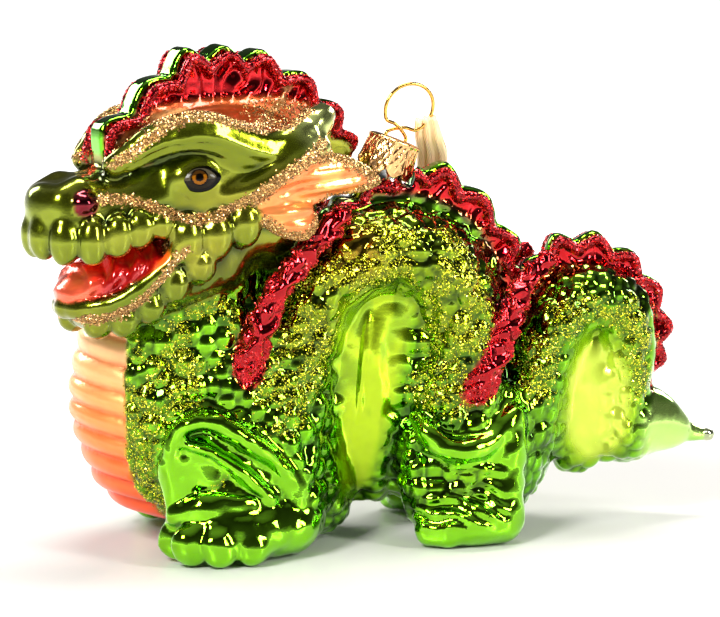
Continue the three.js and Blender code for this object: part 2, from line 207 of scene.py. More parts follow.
# ---------------------------------------------------------------- the dragon's masses
CHEST = Limb([(-31, 0, 60, 14, 14), (-36.5, 0, 45, 17.5, 16.5), (-38.8, 0, 31, 19.6, 18.3),
              (-37, 0, 23.8, 19.6, 18)], 4)
ARCH = [(-11, 0, 9.5, 9.5, 13), (-14.6, 0, 28, 9.2, 15.5), (-12.9, 0, 43, 9.2, 15.8),
        (-6.8, 0, 53.7, 9.4, 15.8),
        (4.5, 0, 58.2, 9.4, 15.5), (14.3, 0, 54.3, 9.3, 15.2), (19.2, 0, 45, 9.3, 15.2),
        (18.4, 0, 32, 9.8, 15.5),
        (17, 0, 14, 11, 14.5)]
FIRST = Limb(ARCH, 4)
SECOND = Limb([(29, 0, 12, 8.5, 12), (33, 0, 21, 8.3, 12), (35.6, 0, 31, 7.5, 11.6),
               (39, 0, 41, 7.2, 11.2),
               (46, 0, 46.8, 7.2, 10.8), (53, 0, 44, 7.2, 10.4), (54.5, 0, 35, 7, 9.8),
               (53.2, 0, 27, 7, 9.2),
               (55, 0, 20.4, 7.6, 8.2)], 4)
TAIL = Limb([(54, 0, 20.6, 7.9, 8.6), (59.5, 0, 20.6, 7.2, 7.2), (64, 0, 19.0, 5.0, 5.0),
             (67.6, 0, 17.9, 2.5, 2.5),
             (70.6, 0, 17.2, 1.5, 1.5), (73.2, 0, 16.8, 0.9, 0.9)], 4)
TAIL_BEAD = Ball((73.5, 0, 16.8), (1.25, 1.15, 1.15))
WEB1 = Ball((3, 0, 33.5), (17, 10, 27))
WEB2 = Ball((45, 0, 27.5), (10, 7, 17.5))
TRUNK = [(CHEST, 1.0), (FIRST, 4.0), (SECOND, 3.5), (TAIL, 2.5), (TAIL_BEAD, 0.6), (WEB1, 2.5),
         (WEB2, 2.5)]
BOTH = (1, -1)
# Upright hollows in the web of the first arch, with a ridge left between them.
HOLLOWS = [Limb([(5.4, 12.2, 48, 2.4), (5.2, 12.4, 38, 3.6), (5.0, 12.4, 28, 3.6), (4.6, 12.0, 18, 3.0)],
                4),
           Limb([(-3.0, 12.2, 45, 2.4), (-3.2, 12.4, 34, 3.6), (-3.0, 12.4, 24, 3.6),
                 (-2.4, 12.0, 15, 3.0)], 4)]

# (limb, fillet), drawn on the side y > 0 and mirrored. PAWS numbers those that are smooth and bright.
PAWS = [*range(2, 11), *range(13, 17)]
FLANK = [
    (Limb([(-27, 9, 40, 10, 7), (-27, 10.5, 31, 9.5, 7.5), (-30, 14, 20, 9, 8),
           (-28, 16.5, 10, 8, 7)], 3), 4.0),
    (Limb([(-20, 11, 30, 8, 6), (-19.5, 14, 19, 8, 6.5), (-18, 15.5, 8, 7.5, 6.5)], 3), 4.0),
    # front paw: sole, four toes, palm and heel
    (Limb([(-36, 19.8, 5.2, 4.8, 4.8), (-30, 20.6, 6.6, 6.0, 6.2), (-23, 19.2, 6.0, 5.8, 6.4),
           (-17.5, 17.4, 5.4, 5, 5.8)], 3), 1.6),
    (Limb([(-35, 17.4, 6.6, 3.8, 2.8), (-39.6, 18.2, 4.5, 4.2, 2.5)], 2), 0.6),
    (Limb([(-34, 21.4, 6.6, 4.0, 2.9), (-37.8, 23.4, 4.4, 4.2, 2.6)], 2), 0.6),
    (Limb([(-29, 22.6, 5.8, 3.9, 2.9), (-32.8, 25.6, 4.0, 3.9, 2.7)], 2), 0.6),
    (Limb([(-23.5, 22.4, 4.8, 3.4, 2.8), (-26.6, 25.2, 3.4, 3.3, 2.7)], 2), 0.7),
    # forearm: a leaf with a rolled upper edge and a sharp keel down its middle
    (Limb([(-40.6, 17.6, 12, 1.5, 2.6), (-41.6, 18.8, 19.5, 1.7, 2.6), (-39.6, 20.0, 26.0, 1.8, 2.6),
           (-34.5, 21, 28.2, 2.0, 2.8), (-28.5, 21.5, 25.2, 2.1, 3), (-22.5, 20.8, 20.8, 2.0, 2.8),
           (-17.6, 19.4, 15.6, 1.9, 2.4), (-15.8, 18.6, 8.5, 1.9, 2.4)], 3), 1.2),
    (Limb([(-38.6, 17.8, 9, 3.6, 3), (-38.9, 18.0, 18, 4.6, 3), (-34, 18.6, 19.5, 5.6, 3.2),
           (-27, 18.6, 16, 5.6, 3.2), (-21, 17.5, 12, 5, 3)], 3), 1.4),
    (Limb([(-38.8, 20.8, 23.6, 0.9, 1.3), (-33.6, 22.2, 21.8, 1.1, 1.7), (-27.6, 22.8, 17.6, 1.2, 1.8),
           (-22.6, 22.4, 12.6, 1.1, 1.5)], 3), 0.9),
    (Limb([(-40.6, 19.6, 9.4, 2.2, 2.2), (-35.2, 22.0, 11.0, 2.9, 2.6), (-28.4, 22.8, 11.0, 2.7, 2.4),
           (-23.4, 21.6, 11.6, 1.3, 1.4)], 3), 0.7),
    # hind leg
    (Limb([(9.5, 11.4, 19, 3.6, 3.4), (9.6, 12.4, 13, 4.4, 4.2), (12, 13.2, 7.2, 5.0, 4.6)], 3), 4.0),
    (Limb([(19, 8.5, 26, 9, 7), (20.5, 11.5, 15, 8.8, 6.6), (20, 12.5, 8, 7.6, 6)], 3), 3.5),
    (Limb([(27.6, 9.5, 27, 3.6, 3.4), (26.8, 13.4, 20, 4.2, 4), (25.8, 15, 12, 4.4, 4),
           (25.2, 15.6, 5.4, 4.7, 4.2)], 3), 1.7),
    (Limb([(12.5, 15, 4.7, 4.2, 4.2), (18, 17.2, 4.7, 4.7, 4.6), (24.8, 16.2, 5, 5, 4.6)], 3), 1.4),
    (Limb([(10.5, 16.8, 3.4, 3.1, 2.8), (14, 18.6, 3.4, 3.3, 2.8)], 2), 0.9),
    (Limb([(8.6, 13.6, 25.5, 1.7, 2.0), (11.2, 16.6, 21.6, 2.4, 2.4), (17, 17.6, 19.4, 2.7, 2.6),
           (23, 16.4, 20.6, 2.4, 2.4), (28.4, 13.2, 25.6, 2.2, 2.4)], 3), 1.2),
    # small muscles where neck meets back
    (Limb([(-24, 11, 43, 5, 4.4), (-21.5, 13, 33, 5, 4), (-24, 14, 25, 4, 4)], 3), 3.0),
]
# Frills: folded ribbons of glass on the neck and in front of the tail's arch
NECK_FRILL = [(-6.5, 12.6, 65.5, 2.2, 2.2), (-12.5, 14.6, 60, 2.6, 2.6), (-17.4, 15.8, 55, 2.8, 2.8),
              (-21.3, 16.4, 49.5, 3.0, 2.8), (-23.6, 16.6, 43.5, 3.1, 2.6), (-25.3, 16.6, 38.5, 3.0, 2.4),
              (-25.7, 16.2, 34.8, 2.4, 2.0)]
TAIL_FRILL = [(36, 7.4, 55, 2.2, 2.0), (32.2, 9.2, 51.6, 2.6, 2.2), (29, 10.8, 46.6, 3.0, 2.6),
              (26, 12.2, 40.5, 3.2, 2.8), (23.4, 13.4, 35.4, 3.5, 2.8), (20.6, 14.2, 31.4, 3.6, 2.6),
              (18.6, 14.4, 28.6, 2.6, 2.0)]


def ruffle(points):
    """A frill before it is folded: wide and thin."""
    return Limb([(x, y, z, 0.92 * r, 0.75 * w) for x, y, z, r, w in points], 5)


NECK_RUFFLE = ruffle(NECK_FRILL)
TAIL_RUFFLE = ruffle(TAIL_FRILL)

BACK_TIPS = [(-5.5, 66.5), (1.5, 70.5), (9.0, 74.0), (16.9, 73.2), (24.8, 67.2), (31.2, 58.6),
             (32.6, 49.5)]
BACK_BASE = [(27, 38), (20, 45), (14, 55), (4, 60), (-6, 56), (-9, 60)]
TAIL_TIPS = [(30.5, 46.5), (34.2, 53.4), (40.2, 58.6), (48.6, 58.8), (56.2, 54.8), (61.6, 48.2),
             (64.0, 40.2),
             (62.6, 33.2), (59.4, 27.8)]
TAIL_BASE = [(57, 24.5), (54, 34), (52, 44), (46, 47), (39, 42), (33, 36), (29, 40)]
HEAD_TIPS = [(41.2, 84.6), (32.2, 92.0), (23.6, 98.2), (14.8, 98.6), (6.6, 97.4), (-3.4, 92.6),
             (-10.6, 86.2),
             (-14.6, 79.4)]
HEAD_BASE = [(-13, 73), (0, 72), (20, 74), (38, 74), (41.5, 78)]
BACK_FIN = Fin(scalloped(BACK_TIPS, BACK_BASE, 2.6), 3.9)
BACK_CROWN = Fin(scalloped(BACK_TIPS, BACK_BASE, 2.2, lift=1.7), 2.6)
TAIL_FIN = Fin(scalloped(TAIL_TIPS, TAIL_BASE, 2.2), 2.7)
TAIL_CROWN = Fin(scalloped(TAIL_TIPS, TAIL_BASE, 1.9, lift=1.2), 1.7)
HEAD_FIN = Fin(scalloped(HEAD_TIPS, HEAD_BASE, 3.0, lift=-1.0), 4.0)
HEAD_CROWN = Fin(scalloped(HEAD_TIPS, HEAD_BASE, 2.6, lift=0.7), 2.8)


def rim_of(fin, tips, y, r):
    """The rolled red edge that follows a crest's scallops, at y to the side."""
    n = len(tips) * LOBE_POINTS
    pts = fin.o[:n]
    return Limb(np.column_stack([pts[:, 0], np.full(n, y), pts[:, 1], np.full(n, r), np.full(n, r)]),
                per=0)


BACK_RIM = rim_of(BACK_FIN, BACK_TIPS, 4.3, 0.85)
TAIL_RIM = rim_of(TAIL_FIN, TAIL_TIPS, 3.0, 0.8)
HEAD_RIM = rim_of(HEAD_FIN, HEAD_TIPS, 4.6, 0.85)

# The head's own frame: f forward to the nose, l to the side, z up.
YAW, PIVOT = math.radians(20), (-15.0, 0.0)


def head_coords(x, y):
    dx, dy = x - PIVOT[0], y - PIVOT[1]
    return -math.cos(YAW) * dx - math.sin(YAW) * dy, math.sin(YAW) * dx - math.cos(YAW) * dy


def head_to_world(p):
    p = np.atleast_2d(np.asarray(p, float))
    c, s = math.cos(YAW), math.sin(YAW)
    return np.column_stack([PIVOT[0] - c * p[:, 0] + s * p[:, 1], PIVOT[1] - s * p[:, 0] - c * p[:, 1],
                            p[:, 2]])


NOSTRIL = (48.2, 7.4, 70.9)
BROW_START = [(41.5, 6.6, 77.6, 2.2), (36.5, 9.2, 80.8, 3.0), (30.5, 11.4, 83.4, 3.6),
              (24.5, 12.6, 83.4, 3.9),
              (18, 13.2, 80.8, 3.9), (11.5, 13.8, 79.4, 3.7)]
# Folds of the upper lip from the nose back, and folds under the jaw: (middle, half-sizes).
LIPS = [((54.0, 1.8, 64.4), (2.9, 2.9, 4.4)), ((51.6, 6.2, 63.8), (3.1, 2.8, 4.6)),
        ((47.2, 9.0, 63.6), (3.0, 2.5, 5.0)),
        ((42.6, 10.4, 64.6), (2.8, 2.3, 4.6)), ((38.2, 11.2, 65.8), (2.7, 2.3, 3.9)),
        ((34.0, 12.0, 66.6), (2.5, 2.3, 3.2)), ((29.4, 13.2, 63.6), (3.5, 2.9, 4.9)),
        ((23.6, 14.2, 64.0), (3.4, 3.0, 4.6)), ((17.8, 14.6, 65.8), (3.4, 3.0, 4.6))]
JAW_FOLDS = [((44.6, 5.2, 47.6), (3.0, 2.6, 3.0)), ((40.2, 8.0, 48.2), (3.0, 2.6, 3.4)),
             ((35.8, 10.2, 51.0), (3.0, 2.6, 3.7)),
             ((31.6, 12.0, 54.8), (3.0, 2.6, 3.7)), ((27.0, 13.2, 58.4), (3.1, 2.7, 3.5))]
# (part, fillet, sides)
HEAD = [
    (Ball((17, 0, 75), (21, 15, 12.5)), 1.0, (1,)),
    (Limb([(8, 0, 66, 12, 14), (20, 0, 65, 9, 13.4)], 2), 5.0, (1,)),
    (Limb([(24, 0, 70.5, 9.5, 12.6), (34, 0, 69.8, 8.6, 11), (43, 0, 68.6, 7.8, 9.4),
           (48.5, 0, 67.6, 7.2, 8.8)], 3), 3.0, (1,)),
    # nose
    (Limb([(47.5, 4.3, 72.2, 3.7, 3.6), (51, 4.0, 70.8, 3.6, 3.6)], 2), 1.5, BOTH),
    (Ball((53.0, 0, 70.2), (2.8, 4.2, 4.0)), 2.0, (1,)),
    (Ball(NOSTRIL, (3.0, 2.6, 2.5)), 0.4, BOTH),
    # brow, sweeping from the nose's bridge over the eye to a horn at the back
    (Limb([*BROW_START, (5.5, 14.2, 81.0, 3.7), (1.8, 13.8, 83.8, 3.4),
           (-0.8, 12.8, 85.6, 2.5)], 3), 1.6, BOTH),
    # leaf behind the eye
    (Limb([(21, 13.6, 71.4, 2.2), (14.5, 15.6, 73.0, 3.0), (8, 16.6, 76.4, 3.3),
           (2.6, 16.8, 79.6, 2.6)], 3), 1.2, BOTH),
    # the swelling that the eye is painted on
    (Ball((26.4, 11.4, 75.2), (5.6, 3.2, 4.0)), 1.6, BOTH),
    # lips: upright folds from the nose round to the corner of the mouth
    *[(Ball(at, size), 0.7 if at[0] > 30 else 0.8, BOTH) for at, size in LIPS],
    # ear: two lobes and the web between them
    (Limb([(12, 15.6, 71.2, 2.4, 1.6), (6.5, 16.4, 70.6, 2.2, 1.4),
           (2.0, 16.8, 70.6, 1.4, 1.2)], 3), 0.8, BOTH),
    (Limb([(12.5, 15.2, 73.4, 2.4, 2.0), (6, 16.8, 74.4, 3.9, 2.2), (-1, 17.4, 74.4, 4.1, 2.0),
           (-7, 17.2, 73.4, 2.8, 1.7), (-10.6, 16.8, 72.6, 1.0, 1.0)], 3), 1.0, BOTH),
    (Limb([(14.6, 15.4, 69.2, 2.6, 2.0), (10.5, 16.8, 67.2, 3.9, 2.3),
           (6.6, 17.2, 65.6, 3.4, 2.0)], 3), 0.9, BOTH),
    (Limb([(19, 0, 58, 8, 12.4), (30, 0, 54.4, 6.8, 11.8), (38.5, 0, 50.6, 4.6, 9.6),
           (43.8, 0, 49.6, 3.9, 7.4)], 3), 3.0, (1,)),
    (Limb([(48.6, 0, 50.2, 1.9), (47.6, 4.4, 50.3, 1.9), (43.5, 8.4, 51.6, 1.9), (38, 11.0, 54.6, 1.9),
           (33.6, 12.6, 58.8, 1.8), (31.4, 13.2, 62.4, 1.6)], 3), 1.2, BOTH),
    *[(Ball(at, size), 0.8, BOTH) for at, size in JAW_FOLDS],
]
MOUTH_CUT = Limb([(58, 0, 55.2, 2.6, 9), (50, 0, 56.4, 3.3, 11), (42, 0, 58.2, 3.6, 13.6),
                  (35.6, 0, 61.0, 2.4, 15)], 3)
TONGUE = Limb([(30, 0, 59.5, 4.0, 11.8), (37, 0, 58.0, 4.0, 11.4), (43, 0, 55.6, 3.4, 9.2),
               (46.4, 0, 53.9, 2.5, 6.8),
               (48.4, 0, 53.0, 1.8, 4.8)], 4)
BROW = Limb([*BROW_START, (5.5, 14.2, 81.8, 3.6)], 3)
EYE = (27.2, 14.2, 75.0)
EAR_LINE = [(16.5, 70.2), (12.0, 75.0), (5.0, 78.2), (-2.0, 77.4), (-10.6, 72.8), (-4.0, 70.0),
            (1.5, 69.2), (3.6, 66.0),
            (7.0, 62.8), (11.5, 63.6), (14.6, 66.4)]
HEAD_FOOT_LINE = [(-16, 82), (-8.7, 85.8), (3.9, 89.0), (21.7, 89.2), (30, 88.4), (35, 86.0),
                  (38.5, 83.0), (42, 79.0)]
GOLD_BROW = [(42.6, 77.9), (38.5, 81.4), (33.9, 85.1), (29, 86.6), (24.7, 86.6), (19, 84.6), (14.4, 83.6),
             (8, 84.4),
             (3.2, 87.5), (1, 90.5)]
GOLD_CHEEK = [(44.9, 71.5), (43.5, 71.6), (39.9, 71.3), (36.6, 70.2), (33.6, 68.8), (30.2, 67.6),
              (27.1, 67.2),
              (23.4, 67.8), (20.1, 69.4), (17, 71.8), (13.6, 73.6), (9.6, 76.0), (6.3, 78.5), (2.6, 81.0)]
GOLD_JAW = [(47.8, 48.8), (45.4, 48.8), (42.9, 49.6), (39.6, 51.4), (36.9, 54.2), (34, 57.8), (31.2, 61.6)]
LIME_NECK = [(-29, 56), (-36, 46), (-42, 36), (-44, 27), (-42, 17), (-37, 12)]
LIME_BACK = [(-19, 30), (-14.5, 40), (-10.5, 50), (-3, 57), (5, 60), (12.5, 57), (17.5, 49), (18, 40),
             (14, 31)]
LIME_TAIL = [(33, 30), (36.5, 40), (43, 47), (51, 46), (55, 38), (54.5, 30)]
RIB_GROOVES = [-6, -2, 1.5, 5.0, 8.6, 12.2, 16.2, 20.6, 25.0, 29.6, 34.4, 39.6, 44.8, 50, 56]
RIBBON = [(13.6, 0.9, 83.2, 2.1), (14.6, 2.8, 79.6, 2.7), (16.3, 6.8, 76.0, 3.0), (17.4, 11.6, 71.2, 3.1),
          (17.9, 16.2, 65.6, 3.2), (18.0, 19.2, 58.0, 3.2), (18.0, 20.0, 51.0, 3.2),
          (18.0, 20.0, 45.8, 3.1)]
NECK_TILT = math.radians(21)
CAP_TOP = np.array([7.2, 0.0, 79.6])
NECK_R, NECK_BORE = 4.1, 3.2


def neck_coords(x, y, z):
    """Along the neck's axis from the cap's top, and the distance off it."""
    dx, dz = x - CAP_TOP[0], z - CAP_TOP[2]
    along = dx * math.sin(NECK_TILT) + dz * math.cos(NECK_TILT)
    across = dx * math.cos(NECK_TILT) - dz * math.sin(NECK_TILT)
    return along, np.sqrt(across ** 2 + y ** 2)


# ---------------------------------------------------------------- the sculpting grid
CELL = 0.6
LOW, HIGH = np.array([-73.0, -33.0, -2.0]), np.array([77.0, 33.0, 104.0])
SIZE = np.ceil((HIGH - LOW) / CELL).astype(int) + 1
AX = [LOW[i] + CELL * np.arange(SIZE[i]) for i in range(3)]
FAR = 9.0
MARGIN = 2.5  # how far past a part and its fillet the field is worked out


def window(lo, hi, margin):
    cut = []
    for i in range(3):
        a = int(np.clip(np.floor((lo[i] - margin - LOW[i]) / CELL), 0, SIZE[i] - 1))
        b = int(np.clip(np.ceil((hi[i] + margin - LOW[i]) / CELL) + 1, a + 1, SIZE[i]))
        cut.append(slice(a, b))
    return tuple(cut)


def coords(cut):
    return AX[0][cut[0]][:, None, None], AX[1][cut[1]][None, :, None], AX[2][cut[2]][None, None, :]


def on_side(lo, hi, sign):
    """A box, moved across the XZ plane where sign is -1."""
    if sign < 0:
        lo[1], hi[1] = -hi[1], -lo[1]
    return lo, hi


def carve(field, cut, d, k):
    """Cuts a shape out of the field, with an edge rounded by about k."""
    field[cut] = -smin(-field[cut], d, k)


def add_limb(field, limb, k, sign):
    """A limb joined piece by piece, each in its own small window."""
    cut = window(*on_side(*limb.box(), sign), k + MARGIN)
    x, y, z = coords(cut)
    d = np.full(field[cut].shape, FAR)
    for a, b in zip(limb.s[:-1], limb.s[1:]):
        r = max(a[3], a[4], b[3], b[4])
        p, q = np.minimum(a[:3], b[:3]) - r, np.maximum(a[:3], b[:3]) + r
        near = window(*on_side(p, q, sign), k + MARGIN)
        sub = tuple(slice(max(n.start - c.start, 0), max(min(n.stop, c.stop) - c.start, 0))
                    for n, c in zip(near, cut))
        d[sub] = np.minimum(d[sub], cone(x[sub[0]], sign * y[:, sub[1]], z[:, :, sub[2]], a, b))
    field[cut] = smin(field[cut], d, k)


def add(field, part, k, sides=(1,)):
    """Joins a part to the field with a fillet of about k, on each of the sides named by a sign."""
    for sign in sides:
        if isinstance(part, Limb):
            add_limb(field, part, k, sign)
            continue
        cut = window(*on_side(*part.box(), sign), k + MARGIN)
        x, y, z = coords(cut)
        field[cut] = smin(field[cut], part(x, sign * y, z), k)


def head_window(part, margin, side):
    lo, hi = part.box()
    corners = [[f, side * l, z] for f in (lo[0], hi[0]) for l in (lo[1], hi[1]) for z in (lo[2], hi[2])]
    world = head_to_world(corners)
    return window(world.min(0), world.max(0), margin)


def add_head(field, part, k, sides=(1,)):
    for side in sides:
        cut = head_window(part, k + MARGIN, side)
        x, y, z = coords(cut)
        f, l = head_coords(x, y)
        field[cut] = smin(field[cut], part(f, side * l, z), k)


def add_fin(field, fin, k, head=False):
    cut = head_window(fin, k + MARGIN, 1) if head else window(*fin.box(), k + MARGIN)
    x, y, z = coords(cut)
    if head:
        f, l = head_coords(x, y)
        d = fin(f, l, z, fin.looked_up(f[:, :, 0], z[0, 0]))
    else:
        d = fin(x, y, z, fin.flat(x[:, 0], z[0])[:, None, :])
    field[cut] = smin(field[cut], d, k)


def sculpt_body():
    body = np.full(SIZE, FAR, np.float32)
    for part, k in TRUNK:
        add(body, part, k)
    for hollow in HOLLOWS:
        for sign in BOTH:
            cut = window(*on_side(*hollow.box(), sign), 5)
            x, y, z = coords(cut)
            carve(body, cut, hollow(x, sign * y, z), 1.6)
    for part, k in FLANK:
        add(body, part, k, BOTH)
    for fin, crown, rim in ((BACK_FIN, BACK_CROWN, BACK_RIM), (TAIL_FIN, TAIL_CROWN, TAIL_RIM)):
        add_fin(body, fin, 2.2)
        add_fin(body, crown, 0.6)
        add(body, rim, 0.7, BOTH)
    for frill in (NECK_RUFFLE, TAIL_RUFFLE):
        add(body, frill, 0.9, BOTH)
    return body


def sculpt_head():
    head = np.full(SIZE, FAR, np.float32)
    for part, k, sides in HEAD:
        add_head(head, part, k, sides)
    mouth = head_window(MOUTH_CUT, 4, 1)
    x, y, z = coords(mouth)
    f, l = head_coords(x, y)
    carve(head, mouth, MOUTH_CUT(f, l, z), 1.2)
    add_head(head, TONGUE, 0.8)
    add_fin(head, HEAD_FIN, 2.0, head=True)
    add_fin(head, HEAD_CROWN, 0.6, head=True)
    add_head(head, HEAD_RIM, 0.7, BOTH)
    return head


def fit_neck(field):
    """Clears room for the cap, and stands the open glass neck in it."""
    cut = window(np.array([-12, -9, 56]), np.array([24, 9, 98]), 0)
    along, off = neck_coords(*coords(cut))
    carve(field, cut, np.maximum(off - 6.6, -8.2 - along), 1.0)
    tube = np.maximum(off - NECK_R, np.maximum(along + 0.9, -26 - along))
    bore = np.maximum(off - NECK_BORE, -19 - along)
    field[cut] = np.maximum(smin(field[cut], tube, 1.2), -bore)


body_field, head_field = sculpt_body(), sculpt_head()
field = smin(body_field, head_field, 2.0)
fit_neck(field)
field = np.maximum(field, -AX[2][None, None, :])


def sample(grid, points):
    """A grid's value between its points."""
    g = (points - LOW) / CELL
    i = np.clip(np.floor(g).astype(int), 0, SIZE - 2)
    t = np.clip(g - i, 0, 1)
    out = 0
    for a, b, c in np.ndindex(2, 2, 2):
        w = abs(1 - a - t[:, 0]) * abs(1 - b - t[:, 1]) * abs(1 - c - t[:, 2])
        out = out + w * grid[i[:, 0] + a, i[:, 1] + b, i[:, 2] + c]
    return out


def slopes(points, step=0.5):
    """The field's unit gradient, which is the surface's normal."""
    n = np.stack([sample(field, points + step * e) - sample(field, points - step * e) for e in np.eye(3)],
                 1)
    return n / np.maximum(np.linalg.norm(n, axis=1), 1e-6)[:, None]


def largest_shell(points, quads):
    """The quads of the biggest connected surface, renumbered."""
    label = np.arange(len(points))
    while True:
        before = label.copy()
        low = label[quads].min(axis=1)
        for i in range(4):
            np.minimum.at(label, quads[:, i], low)
        label = label[label]
        if (label == before).all():
            break
    biggest = np.bincount(label).argmax()
    quads = quads[label[quads[:, 0]] == biggest]
    used = np.unique(quads)
    index = np.zeros(len(points), int)
    index[used] = np.arange(len(used))
    return points[used], index[quads]


def skin():
    grid = vdb.FloatGrid(FAR)
    grid.copyFromArray(np.ascontiguousarray(field, dtype=np.float32))
    points, quads = grid.convertToQuads(isovalue=0.0)
    return largest_shell(points.astype(float) * CELL + LOW, quads[:, ::-1].astype(int))


V, QUADS = skin()
N = slopes(V)
X, Y, Z = V.T
AY = np.abs(Y)
F, L = head_coords(X, Y)
AL = np.abs(L)
HEAD_SIDE = sample(head_field, V) < sample(body_field, V)
BODY_SIDE = ~HEAD_SIDE
# how closed in each point is: 0 in the open, 1 deep in a fold; the paint darkens closed places by it, as
# painted shade
FOLD = np.clip(1 - sample(field, V + 1.6 * N) / 1.6, 0, 1)
FLAT_Y = np.stack([X, AY, Z], 1)
FLAT_L = np.stack([F, AL, Z], 1)


# ---------------------------------------------------------------- measures on the skin
def step(v, low, high):
    t = np.clip((v - low) / (high - low), 0, 1)
    return t * t * (3 - 2 * t)


def reach(part, points, far=6.0):
    """How far each point is from a part, up to far."""
    lo, hi = part.box()
    near = np.all((points > lo - far) & (points < hi + far), axis=1)
    d = np.full(len(points), far)
    d[near] = np.minimum(part(*points[near].T), far)
    return d


def to_line(a, b, line):
    """How far each point (a, b) is from a line of points, and its place along it from 0 to 1."""
    line = np.array(line, float)[:, :2]
    seg = line[1:] - line[:-1]
    length = np.linalg.norm(seg, axis=1)
    done = np.concatenate([[0], np.cumsum(length)]) / length.sum()
    best, place = np.full(len(a), 1e9), np.zeros(len(a))
    for p, e, n, s0, s1 in zip(line, seg, length, done, done[1:]):
        t = np.clip(((a - p[0]) * e[0] + (b - p[1]) * e[1]) / n ** 2, 0, 1)
        d = np.hypot(a - p[0] - e[0] * t, b - p[1] - e[1] * t)
        closer = d < best
        best = np.where(closer, d, best)
        place = np.where(closer, s0 + (s1 - s0) * t, place)
    return best, place


LATTICE = RNG.random((24, 24, 24))


def noise(points, size, octaves=1):
    """Smooth value noise from 0 to 1."""
    total, weight = 0, 0
    for o in range(octaves):
        g = points / (size / 2 ** o) + 7.3 * o
        i = np.floor(g).astype(int)
        t = g - i
        t = t * t * (3 - 2 * t)
        for a, b, c in np.ndindex(2, 2, 2):
            w = abs(1 - a - t[:, 0]) * abs(1 - b - t[:, 1]) * abs(1 - c - t[:, 2])
            total = total + w * LATTICE[(i[:, 0] + a) % 24, (i[:, 1] + b) % 24,
                                        (i[:, 2] + c) % 24] / 2 ** o
        weight += 1 / 2 ** o
    return total / weight


def pebbles(points, where, size, stretch=(1, 1, 1)):
    """Rounded bumps packed side by side: their height from 0 to 1, and 1 on the seams between them."""
    scaled = points * stretch
    chosen = RNG.permutation(np.flatnonzero(where))
    skew = scaled[chosen] @ np.linalg.qr(RNG.normal(size=(3, 3)))[0]
    _, first = np.unique(np.floor(skew / size).astype(int), axis=0, return_index=True)
    sites = scaled[chosen[first]] + RNG.uniform(-0.35, 0.35, (len(first), 3)) * size
    tree = KDTree(len(sites))
    for i, site in enumerate(sites):
        tree.insert(site, i)
    tree.balance()
    dome, seam = np.zeros(len(points)), np.zeros(len(points))
    for i in chosen:
        (_, _, near), (_, _, far) = tree.find_n(scaled[i], 2)
        dome[i] = max(0.0, 1 - (near / (0.75 * size)) ** 2)
        seam[i] = max(0.0, 1 - (far - near) / (0.26 * size))
    return dome, seam


# ---------------------------------------------------------------- where each finish lies
D_FIRST = reach(FIRST, FLAT_Y)
D_LEGS = np.minimum.reduce([reach(FLANK[i][0], FLAT_Y) for i in PAWS])
D_FRILL = reach(NECK_RUFFLE, FLAT_Y)
D_TFRILL = reach(TAIL_RUFFLE, FLAT_Y)
D_BACK = BACK_FIN.flat(X, Z)
D_TAILFIN = TAIL_FIN.flat(X, Z)
D_HEADFIN = HEAD_FIN.flat(F, Z)
D_MOUTH = reach(MOUTH_CUT, FLAT_L)
D_TONGUE = reach(TONGUE, FLAT_L)

BORDER = np.interp(Z, [0, 4, 8, 14, 24, 50], [-30, -37, -42.5, -47.5, -49.5, -48.5])
BORDER = BORDER + 0.8 * (noise(V, 5) - 0.5)
IS_CHEST = BODY_SIDE * step(BORDER - X, -0.3, 0.5) * step(D_LEGS, 0.2, 1.2) * step(56 - Z, 0, 2)
LEG = BODY_SIDE * step(1.6 - D_LEGS, 0, 1.2) * step(32 - Z, 0, 4)


def crest_masks(side, d_flat, across, half, foot):
    """A crest's ruby faces, its green crown between the rims, and its rims' sides."""
    above = side * step(foot, -0.6, 0.6) * step(4.0 - d_flat, 0, 0.8)
    face = above * step(across, half - 1.6, half - 0.9) * step(half + 2.4 - across, 0,
                                                               0.5) * step(1.6 - d_flat, 0, 0.8)
    crown = above * step(half - 0.9 - across, -0.4, 0.4)
    return face, crown


def above_line(a, b, line):
    line = np.array(line)[np.argsort(np.array(line)[:, 0])]
    return b - np.interp(a, line[:, 0], line[:, 1])


BACK_TURN, TAIL_TURN = np.arctan2(Z - 46, X - 4), np.arctan2(Z - 39, X - 46.5)
RIB_LEVEL = np.interp(Z + 0.2 * (X + 58), RIB_GROOVES, np.arange(len(RIB_GROOVES)))
BACK_FOOT = np.maximum(np.hypot(X - 4, Z - 46) - np.interp(np.degrees(BACK_TURN),
                       [0, 40, 90, 125], [25.5, 25.2, 23.2, 24.5]), -2)
TAIL_FOOT = np.hypot(X - 46.5, Z - 39) - np.interp(np.degrees(TAIL_TURN),
                     [-60, 0, 60, 120, 150], [14.2, 14.6, 14.6, 15.2, 14.4])
HEAD_FOOT = above_line(F, Z, HEAD_FOOT_LINE)
BACK_FACE, BACK_GREEN = crest_masks(BODY_SIDE, D_BACK, AY, 3.9, BACK_FOOT)
TAIL_FACE, TAIL_GREEN = crest_masks(BODY_SIDE, D_TAILFIN, AY, 2.7, TAIL_FOOT)
HEAD_FACE, HEAD_GREEN = crest_masks(HEAD_SIDE, D_HEADFIN, AL, 4.0, HEAD_FOOT)
RIMS = {
    "back_crest": BODY_SIDE * step(0.55 - reach(BACK_RIM, FLAT_Y), 0, 0.4),
    "tail_crest": BODY_SIDE * step(0.5 - reach(TAIL_RIM, FLAT_Y), 0, 0.4),
    "head_crest": HEAD_SIDE * step(0.55 - reach(HEAD_RIM, FLAT_L), 0, 0.4),
}
FRILL = BODY_SIDE * step(0.9 - D_FRILL, 0, 0.5)
TFRILL = BODY_SIDE * step(0.9 - D_TFRILL, 0, 0.5)
